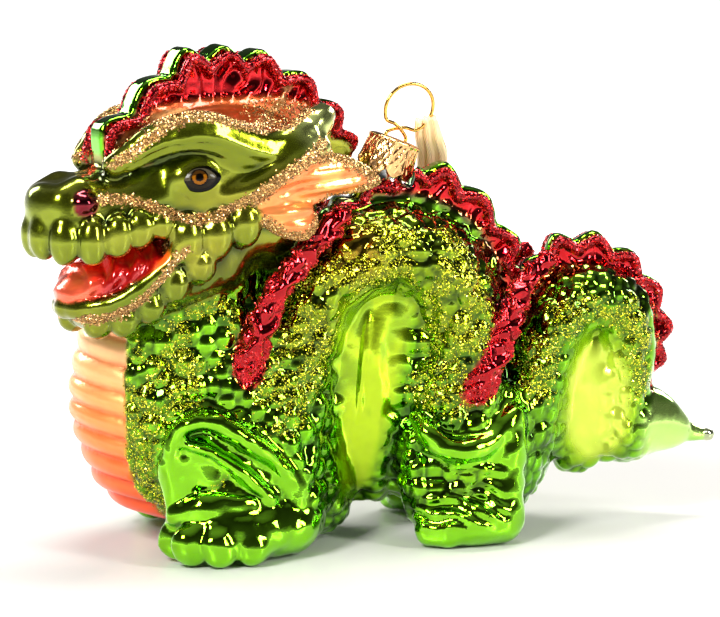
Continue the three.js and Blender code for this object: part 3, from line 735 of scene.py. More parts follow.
ON_CREST = np.maximum.reduce([BACK_FACE, BACK_GREEN, TAIL_FACE, TAIL_GREEN, *RIMS.values(), FRILL, TFRILL])
UPRIGHT1 = np.interp(Z, [6, 14, 30, 42, 50], [3.0, 4.4, 6.0, 8.0, 9.6])
FROM_MIDDLE = X - np.interp(Z, [6, 16, 30, 50], [-3.6, -2.4, 0.0, 0.5])
RECESS1 = BODY_SIDE * step(UPRIGHT1 - np.abs(FROM_MIDDLE), -1.6, 2.4) * step(52.5 - Z, 0, 5) * step(Z, 6, 13)
RECESS1 = RECESS1 * (D_LEGS > 1.0) * step(AY, 2, 5)
RECESS2 = BODY_SIDE * step(1 - np.hypot((X - 47.3) / 8.6, (Z - 26) / 16.5), -0.12, 0.42) * step(AY, 2, 4)
EAR_D, _ = to_line(F, Z, EAR_LINE)
IN_EAR = HEAD_SIDE * step(Fin(EAR_LINE, 1).flat(F, Z), 0.6, -0.4) * step(AL, 14.2, 15.4)
PATCH_EDGE = np.interp(F, [-3, 3, 14, 25, 34, 43], [11.2, 11.8, 11.4, 10.2, 8.4, 6.6])
PATCH = (HEAD_SIDE * step(PATCH_EDGE - AL, -0.4, 0.5) * step(F, -5, -2) * step(39.5 - F, 0, 1.5)
         * step(Z, 77, 79))


SMOOTH = np.maximum.reduce([IS_CHEST, ON_CREST, RECESS1 * step(5.2 - np.abs(FROM_MIDDLE), 0, 2.5),
                            RECESS2 * step(5 - np.abs(X - 45.6), 0, 3), LEG, step(X, 57, 60)])
HIDE = BODY_SIDE * (1 - SMOOTH) * step(Z, 0.5, 2)
DOME, SEAM = np.zeros(len(V)), np.zeros(len(V))
for zone, size, stretch in ((X < 27, 3.6, (1, 1, 1)), (X >= 27, 3.3, (1, 1, 0.85))):
    dome, seam = pebbles(V, (HIDE > 0.02) & zone, size, stretch)
    DOME, SEAM = DOME + dome, SEAM + seam


def blotches(low, high, size=5.5):
    return step(noise(V, size, 2), low, high)


BARE = BODY_SIDE * (1 - ON_CREST) * step(D_LEGS, 0.3, 1.5) * (1 - IS_CHEST)
LIME = {
    "lime_neck": BARE * step(-26 - X, 0, 3) * step(9.5 - to_line(X, Z, LIME_NECK)[0], 0,
                                                   4) * blotches(0.36, 0.48)
    * (1 - LEG),
    "lime_back": BARE * step(7.4 - to_line(X, Z, LIME_BACK)[0], 0, 3) * (1 - RECESS1) * blotches(0.38, 0.5)
    * step(AY, 6, 9),
    "lime_tail": BARE * step(5.2 - to_line(X, Z, LIME_TAIL)[0], 0, 3) * (1 - RECESS2) * blotches(0.42, 0.56)
    * step(AY, 4, 6),
}


# ---------------------------------------------------------------- relief, in millimetres along the normal
def pleat(turns):
    """A sharp triangular fold: 0 on each crest, 1 in each valley."""
    return np.abs(2 * (turns - np.floor(turns)) - 1)


def relief():
    out = np.zeros(len(V))
    # ribs across the chest
    rib = np.abs(np.sin(math.pi * RIB_LEVEL)) ** 0.7
    out += 1.15 * (rib - 0.75) * IS_CHEST * step(Z, 1, 4)
    out += np.where(X < 27, 1.35, 1.15) * HIDE * (DOME - 0.62) * (1 - 0.8 * RECESS1)
    # pleats up the crests' faces
    wander = 1.6 * noise(V, 4)
    out -= 1.0 * BACK_FACE * (1 - RIMS["back_crest"]) * pleat(BACK_TURN * 7.4 + wander)
    out -= 0.9 * TAIL_FACE * (1 - RIMS["tail_crest"]) * pleat(TAIL_TURN * 5.4 + wander)
    out -= 1.5 * HEAD_FACE * (1 - RIMS["head_crest"]) * pleat(0.29 * (F + 0.2 * (Z - 88)) + wander)
    # the frills' folds, slanting to and fro
    for mask, line, count in ((FRILL, NECK_FRILL, 6.5), (TFRILL, TAIL_FRILL, 6.5)):
        d, t = to_line(X, Z, [(p[0], p[2]) for p in line])
        lean = 0.32 * d * np.sign(np.sin(math.pi * count * t))
        out += 1.3 * mask * (0.5 - pleat(count * t + lean + 0.5 * wander))
    # the tongue's ridges, the hind leg's combed ridges, and the seams of the ears
    tongue = HEAD_SIDE * step(0.5 - D_TONGUE, 0, 0.4)
    out += 1.3 * tongue * (0.5 - pleat((F + 0.45 * (Z - 56)) / 3.2)) * step(48 - F, 0, 2)
    combed = (BODY_SIDE * step(X, 5, 9) * step(27 - X, 0, 4) * step(18.5 - Z, 0, 3) * step(Z, 4, 6)
              * (D_LEGS < 2))
    out += 0.5 * combed * np.sin(2 * math.pi * (Z + 0.3 * X + 3.2 * noise(V, 5)) / 2.9)
    out += 0.4 * IN_EAR * np.sin(2 * math.pi * (Z + 0.1 * F) / 3.1) * step(EAR_D, 0.8, 2.2)
    # fine lines that follow the brows, then uneven glass on the cheeks, legs and recesses
    brow = HEAD_SIDE * (F > 0) * (F < 40) * step(1.2 - reach(BROW, FLAT_L), 0, 0.8)
    out += 0.2 * brow * np.sin(2 * math.pi * reach(BROW, FLAT_L + [0, 0, 3]) / 2.1)
    out += 0.95 * HEAD_SIDE * (noise(V, 4.8, 2) - 0.5) * step(AL, 4, 8) * step(15.5 - AL, 0, 1)
    out += 1.5 * LEG * (noise(V + 31, 4.6, 2) - 0.5) * step(Z, 1, 4)
    out += 0.7 * np.maximum(RECESS1, RECESS2) * (noise(V * [1, 1, 0.55], 3.6, 2) - 0.5)
    ridge = X + 1.9 - 0.095 * (Z - 28)
    out += 0.8 * RECESS1 * np.exp(-((ridge / 0.7) ** 2)) * step(Z, 22, 29) * step(49 - Z, 0, 5)
    # the unevenness of blown glass
    out += 0.5 * (noise(V, 9) - 0.5) * step(Z, 1, 4)
    neck_along, neck_off = neck_coords(X, Y, Z)
    return out * step(neck_off, 7, 8.5)


P = V + N * relief()[:, None]
P[:, 2] = np.maximum(P[:, 2], 0)


# ---------------------------------------------------------------- lacquer colours, with shade painted into folds and seams and one painted highlight
def srgb(*c):
    return np.array([v / 12.92 if v <= 0.04045 else ((v + 0.055) / 1.055) ** 2.4 for v in np.array(c) / 255])


TINT = np.tile(srgb(112, 198, 0), (len(V), 1))
GLOSS = np.full(len(V), 0.07)
METAL = np.full(len(V), 1.0)


def lay(mask, colour, gloss=None, metal=None):
    """Brushes a colour, its roughness and its metal share over the skin where mask says."""
    global TINT, GLOSS, METAL
    mask = np.clip(mask, 0, 1)
    TINT = TINT * (1 - mask[:, None]) + np.asarray(colour) * mask[:, None]
    if gloss is not None:
        GLOSS = GLOSS * (1 - mask) + gloss * mask
    if metal is not None:
        METAL = METAL * (1 - mask) + metal * mask


def line_mask(line, half, wobble=0.3):
    """1 on a brushed line of glue in the head's side view."""
    d, _ = to_line(F, Z, line)
    return HEAD_SIDE * step(half + wobble * (noise(V, 1.6) - 0.5) * 2 - d, -0.15, 0.15)


def paint_body():
    lay(0.7 * BODY_SIDE * noise(V, 11), srgb(134, 176, 0))
    # painted shade: dark green in the folds and closed places of the body
    lay(0.9 * step(FOLD, 0.1, 0.65), srgb(12, 46, 0))
    lay(0.6 * sum(LIME.values()), srgb(76, 104, 0), 0.14)
    lay(LEG, srgb(130, 204, 18), 0.06)
    # painted shade in the folds of the legs
    lay(LEG * 0.8 * step(FOLD, 0.25, 0.8), srgb(24, 78, 0))
    arch = BODY_SIDE * step(2.2 - D_FIRST, 0, 1.5) * step(Z, 34, 44) * step(AY, 4, 9) * step(26 - X, 0, 8)
    lay(0.6 * arch, srgb(140, 156, 0))
    lay(RECESS1, srgb(180, 212, 12), 0.16, 0.85)
    lay(0.7 * RECESS1 * step(noise(V * [1, 1, 0.4], 3.2, 2), 0.42, 0.62), srgb(122, 166, 4))
    lay(RECESS2, srgb(176, 208, 22), 0.2, 0.75)
    lay(RECESS2 * step(RECESS2, 0.6, 1.0), srgb(208, 230, 70), 0.25, 0.6)
    dark = np.maximum(step(2.4 - D_FRILL, 0, 1.4), step(2.6 - D_TFRILL, 0, 1.4)) * BODY_SIDE
    lay(0.7 * dark * step(noise(V, 4), 0.25, 0.5), srgb(58, 26, 10), 0.1)
    # painted shade: darker green in the recesses' folds, then dark seams painted between the pebbles as
    # shade
    lay(0.75 * np.maximum(RECESS1, RECESS2) * step(FOLD, 0.15, 0.6), srgb(84, 122, 0))
    lay(0.85 * HIDE * SEAM * (1 - 0.9 * np.maximum(RECESS1, RECESS2)), srgb(14, 44, 0))
    bulb = BODY_SIDE * step(X, 55, 59) * step(D_TAILFIN, 0.5, 2)
    lay(0.85 * bulb, srgb(194, 232, 124), 0.14, 0.9)
    lay(0.55 * bulb * step(noise(V, 7), 0.5, 0.75), srgb(104, 176, 10), 0.1)
    lay(BODY_SIDE * step(X, 71.8, 72.6), srgb(170, 180, 140), 0.05)
    amber = (BODY_SIDE * step(X, -13, -7) * step(4 - X, 0, 6) * step(Z, 52, 58) * step(AY, 3, 6)
             * step(65 - Z, 0, 3))
    lay(0.8 * amber, srgb(150, 110, 0), 0.08)
    crease = BODY_SIDE * np.maximum(step(1.3 - np.abs(BACK_FOOT + 0.4), 0, 1.0) * (D_BACK < 2.5),
                                    0.7 * step(1.2 - np.abs(TAIL_FOOT + 0.4), 0, 1.0) * (D_TAILFIN < 2))
    lay(0.75 * crease * step(Z, 40, 50), srgb(84, 30, 44), 0.12)
    # chest
    glow = np.array([srgb(250, 84, 34), srgb(254, 112, 44), srgb(255, 160, 84), srgb(255, 204, 142)])
    peach = np.stack([np.interp(Z, [4, 16, 30, 44], glow[:, c]) for c in range(3)], 1)
    lay(IS_CHEST, peach, 0.42, 0.45)
    lay(0.75 * IS_CHEST * step(1 - np.abs(np.sin(math.pi * RIB_LEVEL)), 0.3, 0.95),
        peach * [0.86, 0.42, 0.3])


def paint_head():
    lay(HEAD_SIDE, srgb(144, 144, 32), 0.17, 0.95)
    lay(0.8 * HEAD_SIDE * step(60 - Z, 0, 5), srgb(112, 122, 14))
    lay(HEAD_SIDE * 0.65 * step(noise(V, 12, 2), 0.35, 0.65), srgb(104, 126, 8))
    # painted shade in the head's folds
    lay(HEAD_SIDE * 0.9 * step(FOLD, 0.12, 0.65), srgb(38, 52, 0), 0.18)
    # painted highlight: a pale spot at the back of the brow, by the horn
    lay(0.9 * HEAD_SIDE * step(8 - np.hypot(F - 1, Z - 84), 0, 5) * (AL > 8), srgb(206, 216, 130))
    lay(PATCH, srgb(178, 76, 22), 0.34, 0.65)
    lay(0.6 * PATCH * step(noise(V, 4), 0.5, 0.7), srgb(150, 62, 16))
    lay(IN_EAR, srgb(250, 136, 70), 0.24, 0.6)
    lay(IN_EAR * step(noise(V, 5), 0.5, 0.75), srgb(255, 176, 90))
    from_nostril = np.sqrt((F - NOSTRIL[0]) ** 2 + (AL - NOSTRIL[1]) ** 2 + (Z - NOSTRIL[2]) ** 2)
    nostril = HEAD_SIDE * step(3.1 - from_nostril, 0, 0.3) * step(AL, 7, 7.6)
    lay(nostril, srgb(110, 6, 22), 0.05, 1)
    inside = HEAD_SIDE * step(0.9 - np.maximum(D_MOUTH, -2), 0, 0.7) * (F < 52)
    lay(inside, srgb(255, 96, 20), 0.35, 0.0)
    lay(inside * step(F, 42, 48) * (Z < 57), srgb(255, 140, 100))
    tongue = HEAD_SIDE * step(0.55 - D_TONGUE, 0, 0.4)
    lay(tongue, srgb(236, 26, 16), 0.12, 0.45)
    # painted shade in the tongue's folds
    lay(0.7 * tongue * step(FOLD, 0.15, 0.6), srgb(126, 6, 12))
    lay(tongue * step(F, 44, 48), srgb(250, 100, 64), 0.2, 0.6)


def paint_crests():
    for face, crown, rim in ((BACK_FACE, BACK_GREEN, "back_crest"), (TAIL_FACE, TAIL_GREEN, "tail_crest"),
                             (HEAD_FACE, HEAD_GREEN, "head_crest")):
        lay(crown, srgb(96, 186, 10), 0.05, 1)
        # painted shade in the crown's folds
        lay(crown * step(FOLD, 0.2, 0.7), srgb(16, 60, 0))
        lay(face, srgb(190, 4, 16), 0.05, 1)
        # painted shade in the faces' pleats
        lay(face * step(FOLD, 0.15, 0.7), srgb(70, 3, 16))
        lay(RIMS[rim], srgb(128, 6, 16), 0.2)
    for frill in (FRILL, TFRILL):
        lay(frill, srgb(164, 3, 14), 0.08, 1)
        # painted shade in the frills' folds
        lay(0.85 * frill * step(FOLD, 0.15, 0.7), srgb(44, 3, 12))


def paint():
    paint_body()
    paint_head()
    paint_crests()
    for line, half in ((GOLD_BROW, 0.8), (GOLD_CHEEK, 0.9), (GOLD_JAW, 0.8)):
        lay(0.8 * line_mask(line, half) * step(AL, 3, 4), srgb(140, 104, 54), 0.35, 0.7)
    lay(0.7 * HEAD_SIDE * step(1.2 - EAR_D, 0, 0.3) * step(AL, 14.6, 15.4), srgb(150, 108, 58), 0.35, 0.7)
    along, off = neck_coords(X, Y, Z)
    lay(step(6.4 - off, 0, 0.4) * step(along, -8.6, -8.2), srgb(190, 192, 190), 0.12)


paint()


# ---------------------------------------------------------------- meshes
def new_mesh(name, points, faces, smooth=True):
    """An object from points in millimetres and an array of faces, all with the same number of corners."""
    points, faces = np.asarray(points, float), np.asarray(faces)
    mesh = bpy.data.meshes.new(name)
    mesh.vertices.add(len(points))
    mesh.vertices.foreach_set("co", metres(points).astype(np.float32).ravel())
    mesh.loops.add(faces.size)
    mesh.loops.foreach_set("vertex_index", faces.astype(np.int32).ravel())
    mesh.polygons.add(len(faces))
    mesh.polygons.foreach_set("loop_start", np.arange(0, faces.size, faces.shape[1], dtype=np.int32))
    mesh.polygons.foreach_set("use_smooth", np.full(len(faces), smooth))
    mesh.update(calc_edges=True)
    obj = bpy.data.objects.new(name, mesh)
    bpy.context.scene.collection.objects.link(obj)
    return obj


def tube_grid(rows):
    """Quads between consecutive rings of points."""
    n, m = rows.shape[:2]
    r, j = np.meshgrid(np.arange(n - 1), np.arange(m), indexing="ij")
    k = (j + 1) % m
    return np.stack([r * m + j, r * m + k, (r + 1) * m + k, (r + 1) * m + j], -1).reshape(-1, 4)


def close_ends(obj, dist=3e-5, turn_out=True):
    """Welds the tiny end rings into points, so that the mesh is closed."""
    work = bmesh.new()
    work.from_mesh(obj.data)
    bmesh.ops.remove_doubles(work, verts=work.verts, dist=dist)
    if turn_out:
        bmesh.ops.recalc_face_normals(work, faces=work.faces)
    work.to_mesh(obj.data)
    work.free()


def colour_points(obj, name, colours):
    layer = obj.data.attributes.new(name, "FLOAT_COLOR", "POINT")
    rgba = np.column_stack([colours, np.ones(len(colours))])
    layer.data.foreach_set("color", rgba.astype(np.float32).ravel())


def value_points(obj, name, values):
    layer = obj.data.attributes.new(name, "FLOAT", "POINT")
    layer.data.foreach_set("value", np.asarray(values, np.float32))


def piece(obj, body, mat, slot, *nodes):
    """Gives a mesh its body, its finish and the CAD nodes that it stands for."""
    obj.data.materials.append(mat)
    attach(obj, body)
    if nodes:
        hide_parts(*nodes)
    return obj


# ---------------------------------------------------------------- materials
class Finish:
    """A Principled material, and short ways to add nodes to it."""

    def __init__(self, name, **sockets):
        self.mat = bpy.data.materials.new(name)
        self.mat.use_nodes = True
        self.tree = self.mat.node_tree
        self.shader = self.tree.nodes["Principled BSDF"]
        for key, value in sockets.items():
            self.shader.inputs[key.replace("_", " ")].default_value = value

    def node(self, kind, **settings):
        node = self.tree.nodes.new(kind)
        for key, value in settings.items():
            if key in node.inputs:
                node.inputs[key].default_value = value
            else:
                setattr(node, key, value)
        return node

    def link(self, out, into):
        self.tree.links.new(out, into)

    def attribute(self, name):
        return self.node("ShaderNodeAttribute", attribute_name=name)

    def noise(self, scale, detail=3.0):
        place = self.node("ShaderNodeTexCoord")
        grain = self.node("ShaderNodeTexNoise", Scale=scale, Detail=detail)
        self.link(place.outputs["Object"], grain.inputs["Vector"])
        return grain.outputs["Fac"]

    def spread(self, value, low, high):
        """Maps a value from 0..1 to low..high."""
        node = self.node("ShaderNodeMapRange")
        node.inputs["To Min"].default_value = low
        node.inputs["To Max"].default_value = high
        self.link(value, node.inputs["Value"])
        return node.outputs["Result"]

    def tinted(self, colour, value, low=0.8, high=1.15):
        """Feeds Base Color from a colour output, made lighter and darker by value."""
        hue = self.node("ShaderNodeHueSaturation")
        self.link(colour, hue.inputs["Color"])
        self.link(self.spread(value, low, high), hue.inputs["Value"])
        self.link(hue.outputs["Color"], self.shader.inputs["Base Color"])

    def bump(self, height, strength, distance):
        node = self.node("ShaderNodeBump", Strength=strength, Distance=distance)
        self.link(height, node.inputs["Height"])
        self.link(node.outputs["Normal"], self.shader.inputs["Normal"])


def lacquer_finish():
    """Silvered glass under tinted lacquer: mirror where it is thin, satin where it is pearl."""
    made = Finish("lacquered_glass", Coat_Weight=0.45, Coat_Roughness=0.03, Coat_IOR=1.5)
    made.link(made.attribute("metal").outputs["Fac"], made.shader.inputs["Metallic"])
    made.tinted(made.attribute("tint").outputs["Color"], made.noise(320, 4), 0.82, 1.14)
    rough = made.node("ShaderNodeMath", operation="ADD")
    made.link(made.attribute("gloss").outputs["Fac"], rough.inputs[0])
    made.link(made.spread(made.noise(900, 2), -0.03, 0.04), rough.inputs[1])
    made.link(rough.outputs[0], made.shader.inputs["Roughness"])
    made.bump(made.noise(420, 3), 0.25, 0.0003)
    return made.mat


def grain_finish(name, roughness):
    made = Finish(name, Metallic=0.9, Roughness=roughness, Coat_Weight=0.6, Coat_Roughness=0.1)
    made.tinted(made.attribute("tint").outputs["Color"], made.noise(2600, 1), 0.7, 1.3)
    return made.mat


def metal_finish(name, colour, roughness, scratch):
    made = Finish(name, Metallic=1.0, Roughness=roughness)
    flat = made.node("ShaderNodeRGB")
    flat.outputs[0].default_value = (*colour, 1)
    made.tinted(flat.outputs[0], made.noise(scratch, 4), 0.85, 1.1)
    made.link(made.spread(made.noise(scratch * 2.5, 2), roughness * 0.6, roughness * 1.5),
              made.shader.inputs["Roughness"])
    made.bump(made.noise(scratch * 1.7, 3), 0.3, 0.0001)
    return made.mat


glass_mat = lacquer_finish()
glass = new_mesh("dragon_glass", P, QUADS)
colour_points(glass, "tint", np.clip(TINT, 0, 1))
value_points(glass, "gloss", GLOSS)
value_points(glass, "metal", METAL)
piece(glass, "glass", glass_mat, "lacquered_glass", "glass_body")


# ---------------------------------------------------------------- glitter
CENTRE = P[QUADS].mean(1)
EDGE_A, EDGE_B = P[QUADS[:, 2]] - P[QUADS[:, 0]], P[QUADS[:, 3]] - P[QUADS[:, 1]]
CROSS = np.cross(EDGE_A, EDGE_B) / 2
AREA = np.linalg.norm(CROSS, axis=1)
OUT = CROSS / np.maximum(AREA, 1e-9)[:, None]
GOLDEN = (1 + math.sqrt(5)) / 2
BEAD = np.array([[-1, GOLDEN, 0], [1, GOLDEN, 0], [-1, -GOLDEN, 0], [1, -GOLDEN, 0], [0, -1, GOLDEN],
                 [0, 1, GOLDEN],
                 [0, -1, -GOLDEN], [0, 1, -GOLDEN], [GOLDEN, 0, -1], [GOLDEN, 0, 1], [-GOLDEN, 0, -1],
                 [-GOLDEN, 0, 1]]) / 1.9
BEAD_FACES = np.array([[0, 11, 5], [0, 5, 1], [0, 1, 7], [0, 7, 10], [0, 10, 11], [1, 5, 9], [5, 11, 4],
                       [11, 10, 2],
                       [10, 7, 6], [7, 1, 8], [3, 9, 4], [3, 4, 2], [3, 2, 6], [3, 6, 8], [3, 8, 9],
                       [4, 9, 5],
                       [2, 4, 11], [6, 2, 10], [8, 6, 7], [9, 8, 1]])
FLAKE = np.array([[1, 0, 0], [-1, 0, 0], [0, 1, 0], [0, -1, 0], [0, 0, 0.55], [0, 0, -0.55]])
FLAKE_FACES = np.array([[0, 2, 4], [2, 1, 4], [1, 3, 4], [3, 0, 4], [2, 0, 5], [1, 2, 5], [3, 1, 5],
                        [0, 3, 5]])


def turns(normals, tilt):
    """Random turns that put local Z near each normal."""
    n = len(normals)
    up = normals + tilt * RNG.normal(size=(n, 3))
    up /= np.linalg.norm(up, axis=1)[:, None]
    side = np.cross(up, RNG.normal(size=(n, 3)))
    side /= np.linalg.norm(side, axis=1)[:, None]
    return np.stack([side, np.cross(up, side), up], 1)


def grains(name, mask, per_mm2, size, shape, faces, colours, mat, slot, node, tilt=0.5, proud=0.35):
    """Scatters glued grains over the skin where mask says, as one piece."""
    want = AREA * per_mm2 * np.clip(mask[QUADS].mean(1), 0, 1)
    chosen = np.repeat(np.arange(len(QUADS)), RNG.poisson(want))
    n = len(chosen)
    if n == 0:
        raise SystemExit("no grains on " + name)
    shift = RNG.uniform(-0.5, 0.5, (n, 2)) * 0.8
    at = CENTRE[chosen] + EDGE_A[chosen] * shift[:, :1] + EDGE_B[chosen] * shift[:, 1:] * 0.7
    radius = size * RNG.uniform(0.7, 1.2, n)
    at += OUT[chosen] * (radius * proud)[:, None]
    spin = turns(OUT[chosen], tilt)
    points = at[:, None, :] + radius[:, None, None] * np.einsum("kj,njc->nkc", shape, spin)
    index = (faces[None] + np.arange(n)[:, None, None] * len(shape)).reshape(-1, 3)
    points = points.reshape(-1, 3)
    points[:, 2] = np.maximum(points[:, 2], 0.02)
    obj = new_mesh(name, points, index, smooth=False)
    pick = colours[RNG.integers(0, len(colours), n)] * RNG.uniform(0.75, 1.3, (n, 1))
    colour_points(obj, "tint", np.clip(np.repeat(pick, len(shape), axis=0), 0, 1))
    return piece(obj, "glass", mat, slot, node)


MASKS = {}
for crest, rim in RIMS.items():
    MASKS["red_" + crest] = rim * step(AL if crest == "head_crest" else AY, 1.6, 2.4)
for key, mask, line, inner in (("red_neck_frill", FRILL, NECK_FRILL, 9),
                               ("red_tail_frill", TFRILL, TAIL_FRILL, 5)):
    d, t = to_line(X, Z, [(p[0], p[2]) for p in line])
    edge = step(1.0 - np.abs(d - 1.9 - 0.5 * np.sin(31 * t)), 0, 0.5)
    covered = np.maximum(edge * blotches(0.2, 0.4, 3), step(t, 0.78, 0.9))
    MASKS[key] = mask * covered * step(AY, inner, inner + 2)
MASKS.update(LIME)
MASKS["gold_brow"] = np.maximum(line_mask(GOLD_BROW, 0.8) * step(AL, 4.5, 5.5),
                                PATCH * (1 - HEAD_FACE) * step(16 - F, 0, 12) * step(HEAD_FOOT, 0,
                                                                                     -1) * 0.35)
MASKS["gold_brow"] = MASKS["gold_brow"] * step(Z, 77, 77.5)
MASKS["gold_cheek"] = line_mask(GOLD_CHEEK, 0.9) * step(AL, 5.5, 6.5)
MASKS["gold_jaw"] = line_mask(GOLD_JAW, 0.85) * step(AL, 1, 2) * step(62.5 - Z, 0, 0.5)
MASKS["gold_ear"] = HEAD_SIDE * step(1.2 - EAR_D, 0, 0.3) * step(AL, 14.6, 15.4)
HEAD_MASKS = ("red_head_crest", "gold_brow", "gold_cheek", "gold_jaw", "gold_ear")

RED = np.array([srgb(216, 12, 20), srgb(150, 6, 14), srgb(240, 40, 36)])
GOLD = np.array([srgb(178, 134, 72), srgb(136, 96, 46), srgb(220, 176, 112)])
LIME_FLAKES = np.array([srgb(222, 222, 22), srgb(186, 190, 10), srgb(240, 234, 66), srgb(116, 126, 4)])
STYLES = {
    "red": dict(per_mm2=9.5, size=0.33, shape=FLAKE, faces=FLAKE_FACES, colours=RED, slot="red_glitter",
                tilt=0.55),
    "gold": dict(per_mm2=11.5, size=0.28, shape=BEAD, faces=BEAD_FACES, colours=GOLD, slot="gold_glitter",
                 tilt=0.8),
    "lime": dict(per_mm2=9.0, size=0.32, shape=FLAKE, faces=FLAKE_FACES, colours=LIME_FLAKES,
                 slot="lime_glitter",
                 tilt=0.6),
}
GRAIN_MATS = {"red": grain_finish("red_glitter", 0.22), "gold": grain_finish("gold_glitter", 0.25),
              "lime": grain_finish("lime_glitter", 0.2)}
for key, mask in MASKS.items():
    kind, place = key.split("_", 1)
    for side, sign in (("left", 1), ("right", -1)):
        here = (L * sign > 0) if key in HEAD_MASKS else (Y * sign < 0)
        grains(f"{kind}_grains_{place}_{side}", mask * here, mat=GRAIN_MATS[kind],
               node=f"{kind}_glitter_{place}_{side}", **STYLES[kind])


# ---------------------------------------------------------------- eyes
def painted_eye(side):
    """An almond of dark enamel: an amber iris, a black pupil and ring, and a black outline."""
    rings, spokes = 22, 72
    rows = []
    tint = []
    for back in (False, True):
        for i in range(rings + 1):
            s = i / rings if not back else 1 - i / rings
            for j in range(spokes):
                a = 2 * math.pi * j / spokes
                across = 4.1 * s * math.cos(a)
                up = 2.6 * s * math.sin(a) * (1 - 0.35 * abs(math.cos(a)) ** 3)
                dome = 1.25 * (1 - s * s) if not back else -0.5
                rows.append((across, up, dome))
                r = math.hypot(across - 0.2, (up - 0.25) * 1.05)
                colour = srgb(70, 64, 48) if up > -0.2 else srgb(26, 20, 10)
                if r < 1.7:
                    colour = srgb(128, 76, 8) if up < 0.7 else srgb(54, 32, 6)
                if 1.4 < r < 1.7 or r < 0.8:
                    colour = srgb(6, 4, 2)
                if s > 0.74:
                    colour = srgb(5, 4, 2)
                tint.append(colour)
    rows = np.array(rows)
    normal = np.array([0.34, 0.93, 0.12]) / np.linalg.norm([0.34, 0.93, 0.12])
    forward = np.cross(normal, [0, 0, 1])
    forward /= np.linalg.norm(forward)
    upward = np.cross(forward, normal)
    tilt = math.radians(-4)
    fwd = forward * math.cos(tilt) + upward * math.sin(tilt)
    upw = upward * math.cos(tilt) - forward * math.sin(tilt)
    local = np.array(EYE) + rows[:, :1] * fwd + rows[:, 1:2] * upw + rows[:, 2:] * normal
    local[:, 1] *= side
    points = head_to_world(local)
    quads = tube_grid(np.empty((2 * (rings + 1), spokes)))
    if side > 0:
        quads = quads[:, ::-1]
    return points, quads, np.array(tint)


eye_finish = Finish("eye_enamel", Specular_IOR_Level=0.08, Coat_Weight=0.1, Coat_Roughness=0.02)
eye_finish.tinted(eye_finish.attribute("tint").outputs["Color"], eye_finish.noise(1500, 2), 0.85, 1.15)
eye_finish.link(eye_finish.spread(eye_finish.noise(600, 2), 0.08, 0.2),
                eye_finish.shader.inputs["Roughness"])
for name, side in (("left", 1), ("right", -1)):
    points, quads, tint = painted_eye(side)
    eye = new_mesh("eye_" + name, points, quads)
    colour_points(eye, "tint", tint)
    close_ends(eye, 1e-7, turn_out=False)
    piece(eye, "glass", eye_finish.mat, "lacquered_glass")


# ---------------------------------------------------------------- cap
def on_neck(points):
    """From the cap's own frame, whose Z is its axis and whose origin is the middle of its top."""
    x, y, z = np.asarray(points, float).T
    c, s = math.cos(NECK_TILT), math.sin(NECK_TILT)
    return np.column_stack([CAP_TOP[0] + c * x + s * z, CAP_TOP[1] + y, CAP_TOP[2] - s * x + c * z])


def stamped(u, v):
    """Height of the cap's stamping on a facet: a frame, a diamond, its cross lines and a dot."""
    frame_line = np.exp(-((1 - np.abs(u)) / 0.10) ** 2) + np.exp(-(v / 0.06) ** 2)
    diamond = np.abs(np.abs(u) / 0.72 + np.abs(v - 0.44) / 0.34 - 1)
    inner = np.abs(np.abs(u) / 0.40 + np.abs(v - 0.44) / 0.19 - 1)
    dot = np.hypot(u, (v - 0.44) * 2.1)
    cross = np.minimum(np.abs(np.abs(u) - 0.72 * np.abs(v - 0.44) / 0.34), 9)
    h = 0.20 * np.clip(frame_line, 0, 1) + 0.20 * np.exp(-(diamond / 0.16) ** 2)
    h += 0.16 * np.exp(-(inner / 0.2) ** 2) + 0.22 * np.exp(-(dot / 0.17) ** 2)
    return h + 0.12 * np.exp(-(cross / 0.12) ** 2) * (diamond > 0.2)


def cap_mesh():
    facets, per = 10, 20
    count = facets * per
    a = 2 * math.pi * (np.arange(count) + 0.5) / count + math.radians(8)
    u = 2 * ((np.arange(count) % per + 0.5) / per) - 1
    polygon = math.cos(math.pi / facets) / np.cos(u * math.pi / facets)
    petal = 1 - np.abs(u) ** 1.5
    rings = []

    def ring(radius, z):
        rings.append(np.column_stack([radius * np.cos(a), radius * np.sin(a), np.broadcast_to(z, count)]))

    ring(0.02, 0.0)
    for r in (1.2, 2.4, 3.4, 4.2, 4.7):
        ring(r * np.ones(count), 0.0 - 0.10 * (r > 4) - 0.10 * (r > 4.5))
    for v in np.linspace(0, 1, 30):
        depth = -0.45 - v * (5.75 + 1.35 * petal)
        base = 5.05 + 0.62 * v
        ring(base * polygon / math.cos(math.pi / facets) ** 0.5 + stamped(u, v), depth)
    for v in np.linspace(1, 0, 6):
        depth = -0.45 - v * (5.70 + 1.30 * petal)
        ring((4.72 + 0.58 * v) * polygon, depth)
    for r in (4.4, 3.0, 1.5, 0.02):
        ring(r * np.ones(count), -0.38)
    rings = np.array(rings)
    return on_neck(rings.reshape(-1, 3)), tube_grid(rings)


cap = new_mesh("stamped_cap", *cap_mesh())
close_ends(cap)
piece(cap, "cap", metal_finish("cap_gold", srgb(232, 178, 118), 0.16, 500), "cap_metal", "cap")


# ---------------------------------------------------------------- wire hanger
def smooth_path(points, per):
    return stations([(*p, 1) for p in points], per)[:, :3]


def tube(path, radius, sides=16):
    """Rings of points round a path, without twist."""
    along = np.gradient(path, axis=0)
    along /= np.linalg.norm(along, axis=1)[:, None]
    across = np.cross(along[0], [0.3, 0.9, 0.2])
    rings = []
    for p, t in zip(path, along):
        across = across - t * (across @ t)
        across /= np.linalg.norm(across)
        other = np.cross(t, across)
        a = 2 * math.pi * np.arange(sides)[:, None] / sides
        rings.append(p + radius * (np.cos(a) * across + np.sin(a) * other))
    start = np.repeat(path[:1], sides, axis=0) + (rings[0] - path[0]) * 0.02
    end = np.repeat(path[-1:], sides, axis=0) + (rings[-1] - path[-1]) * 0.02
    return np.array([start, *rings, end])


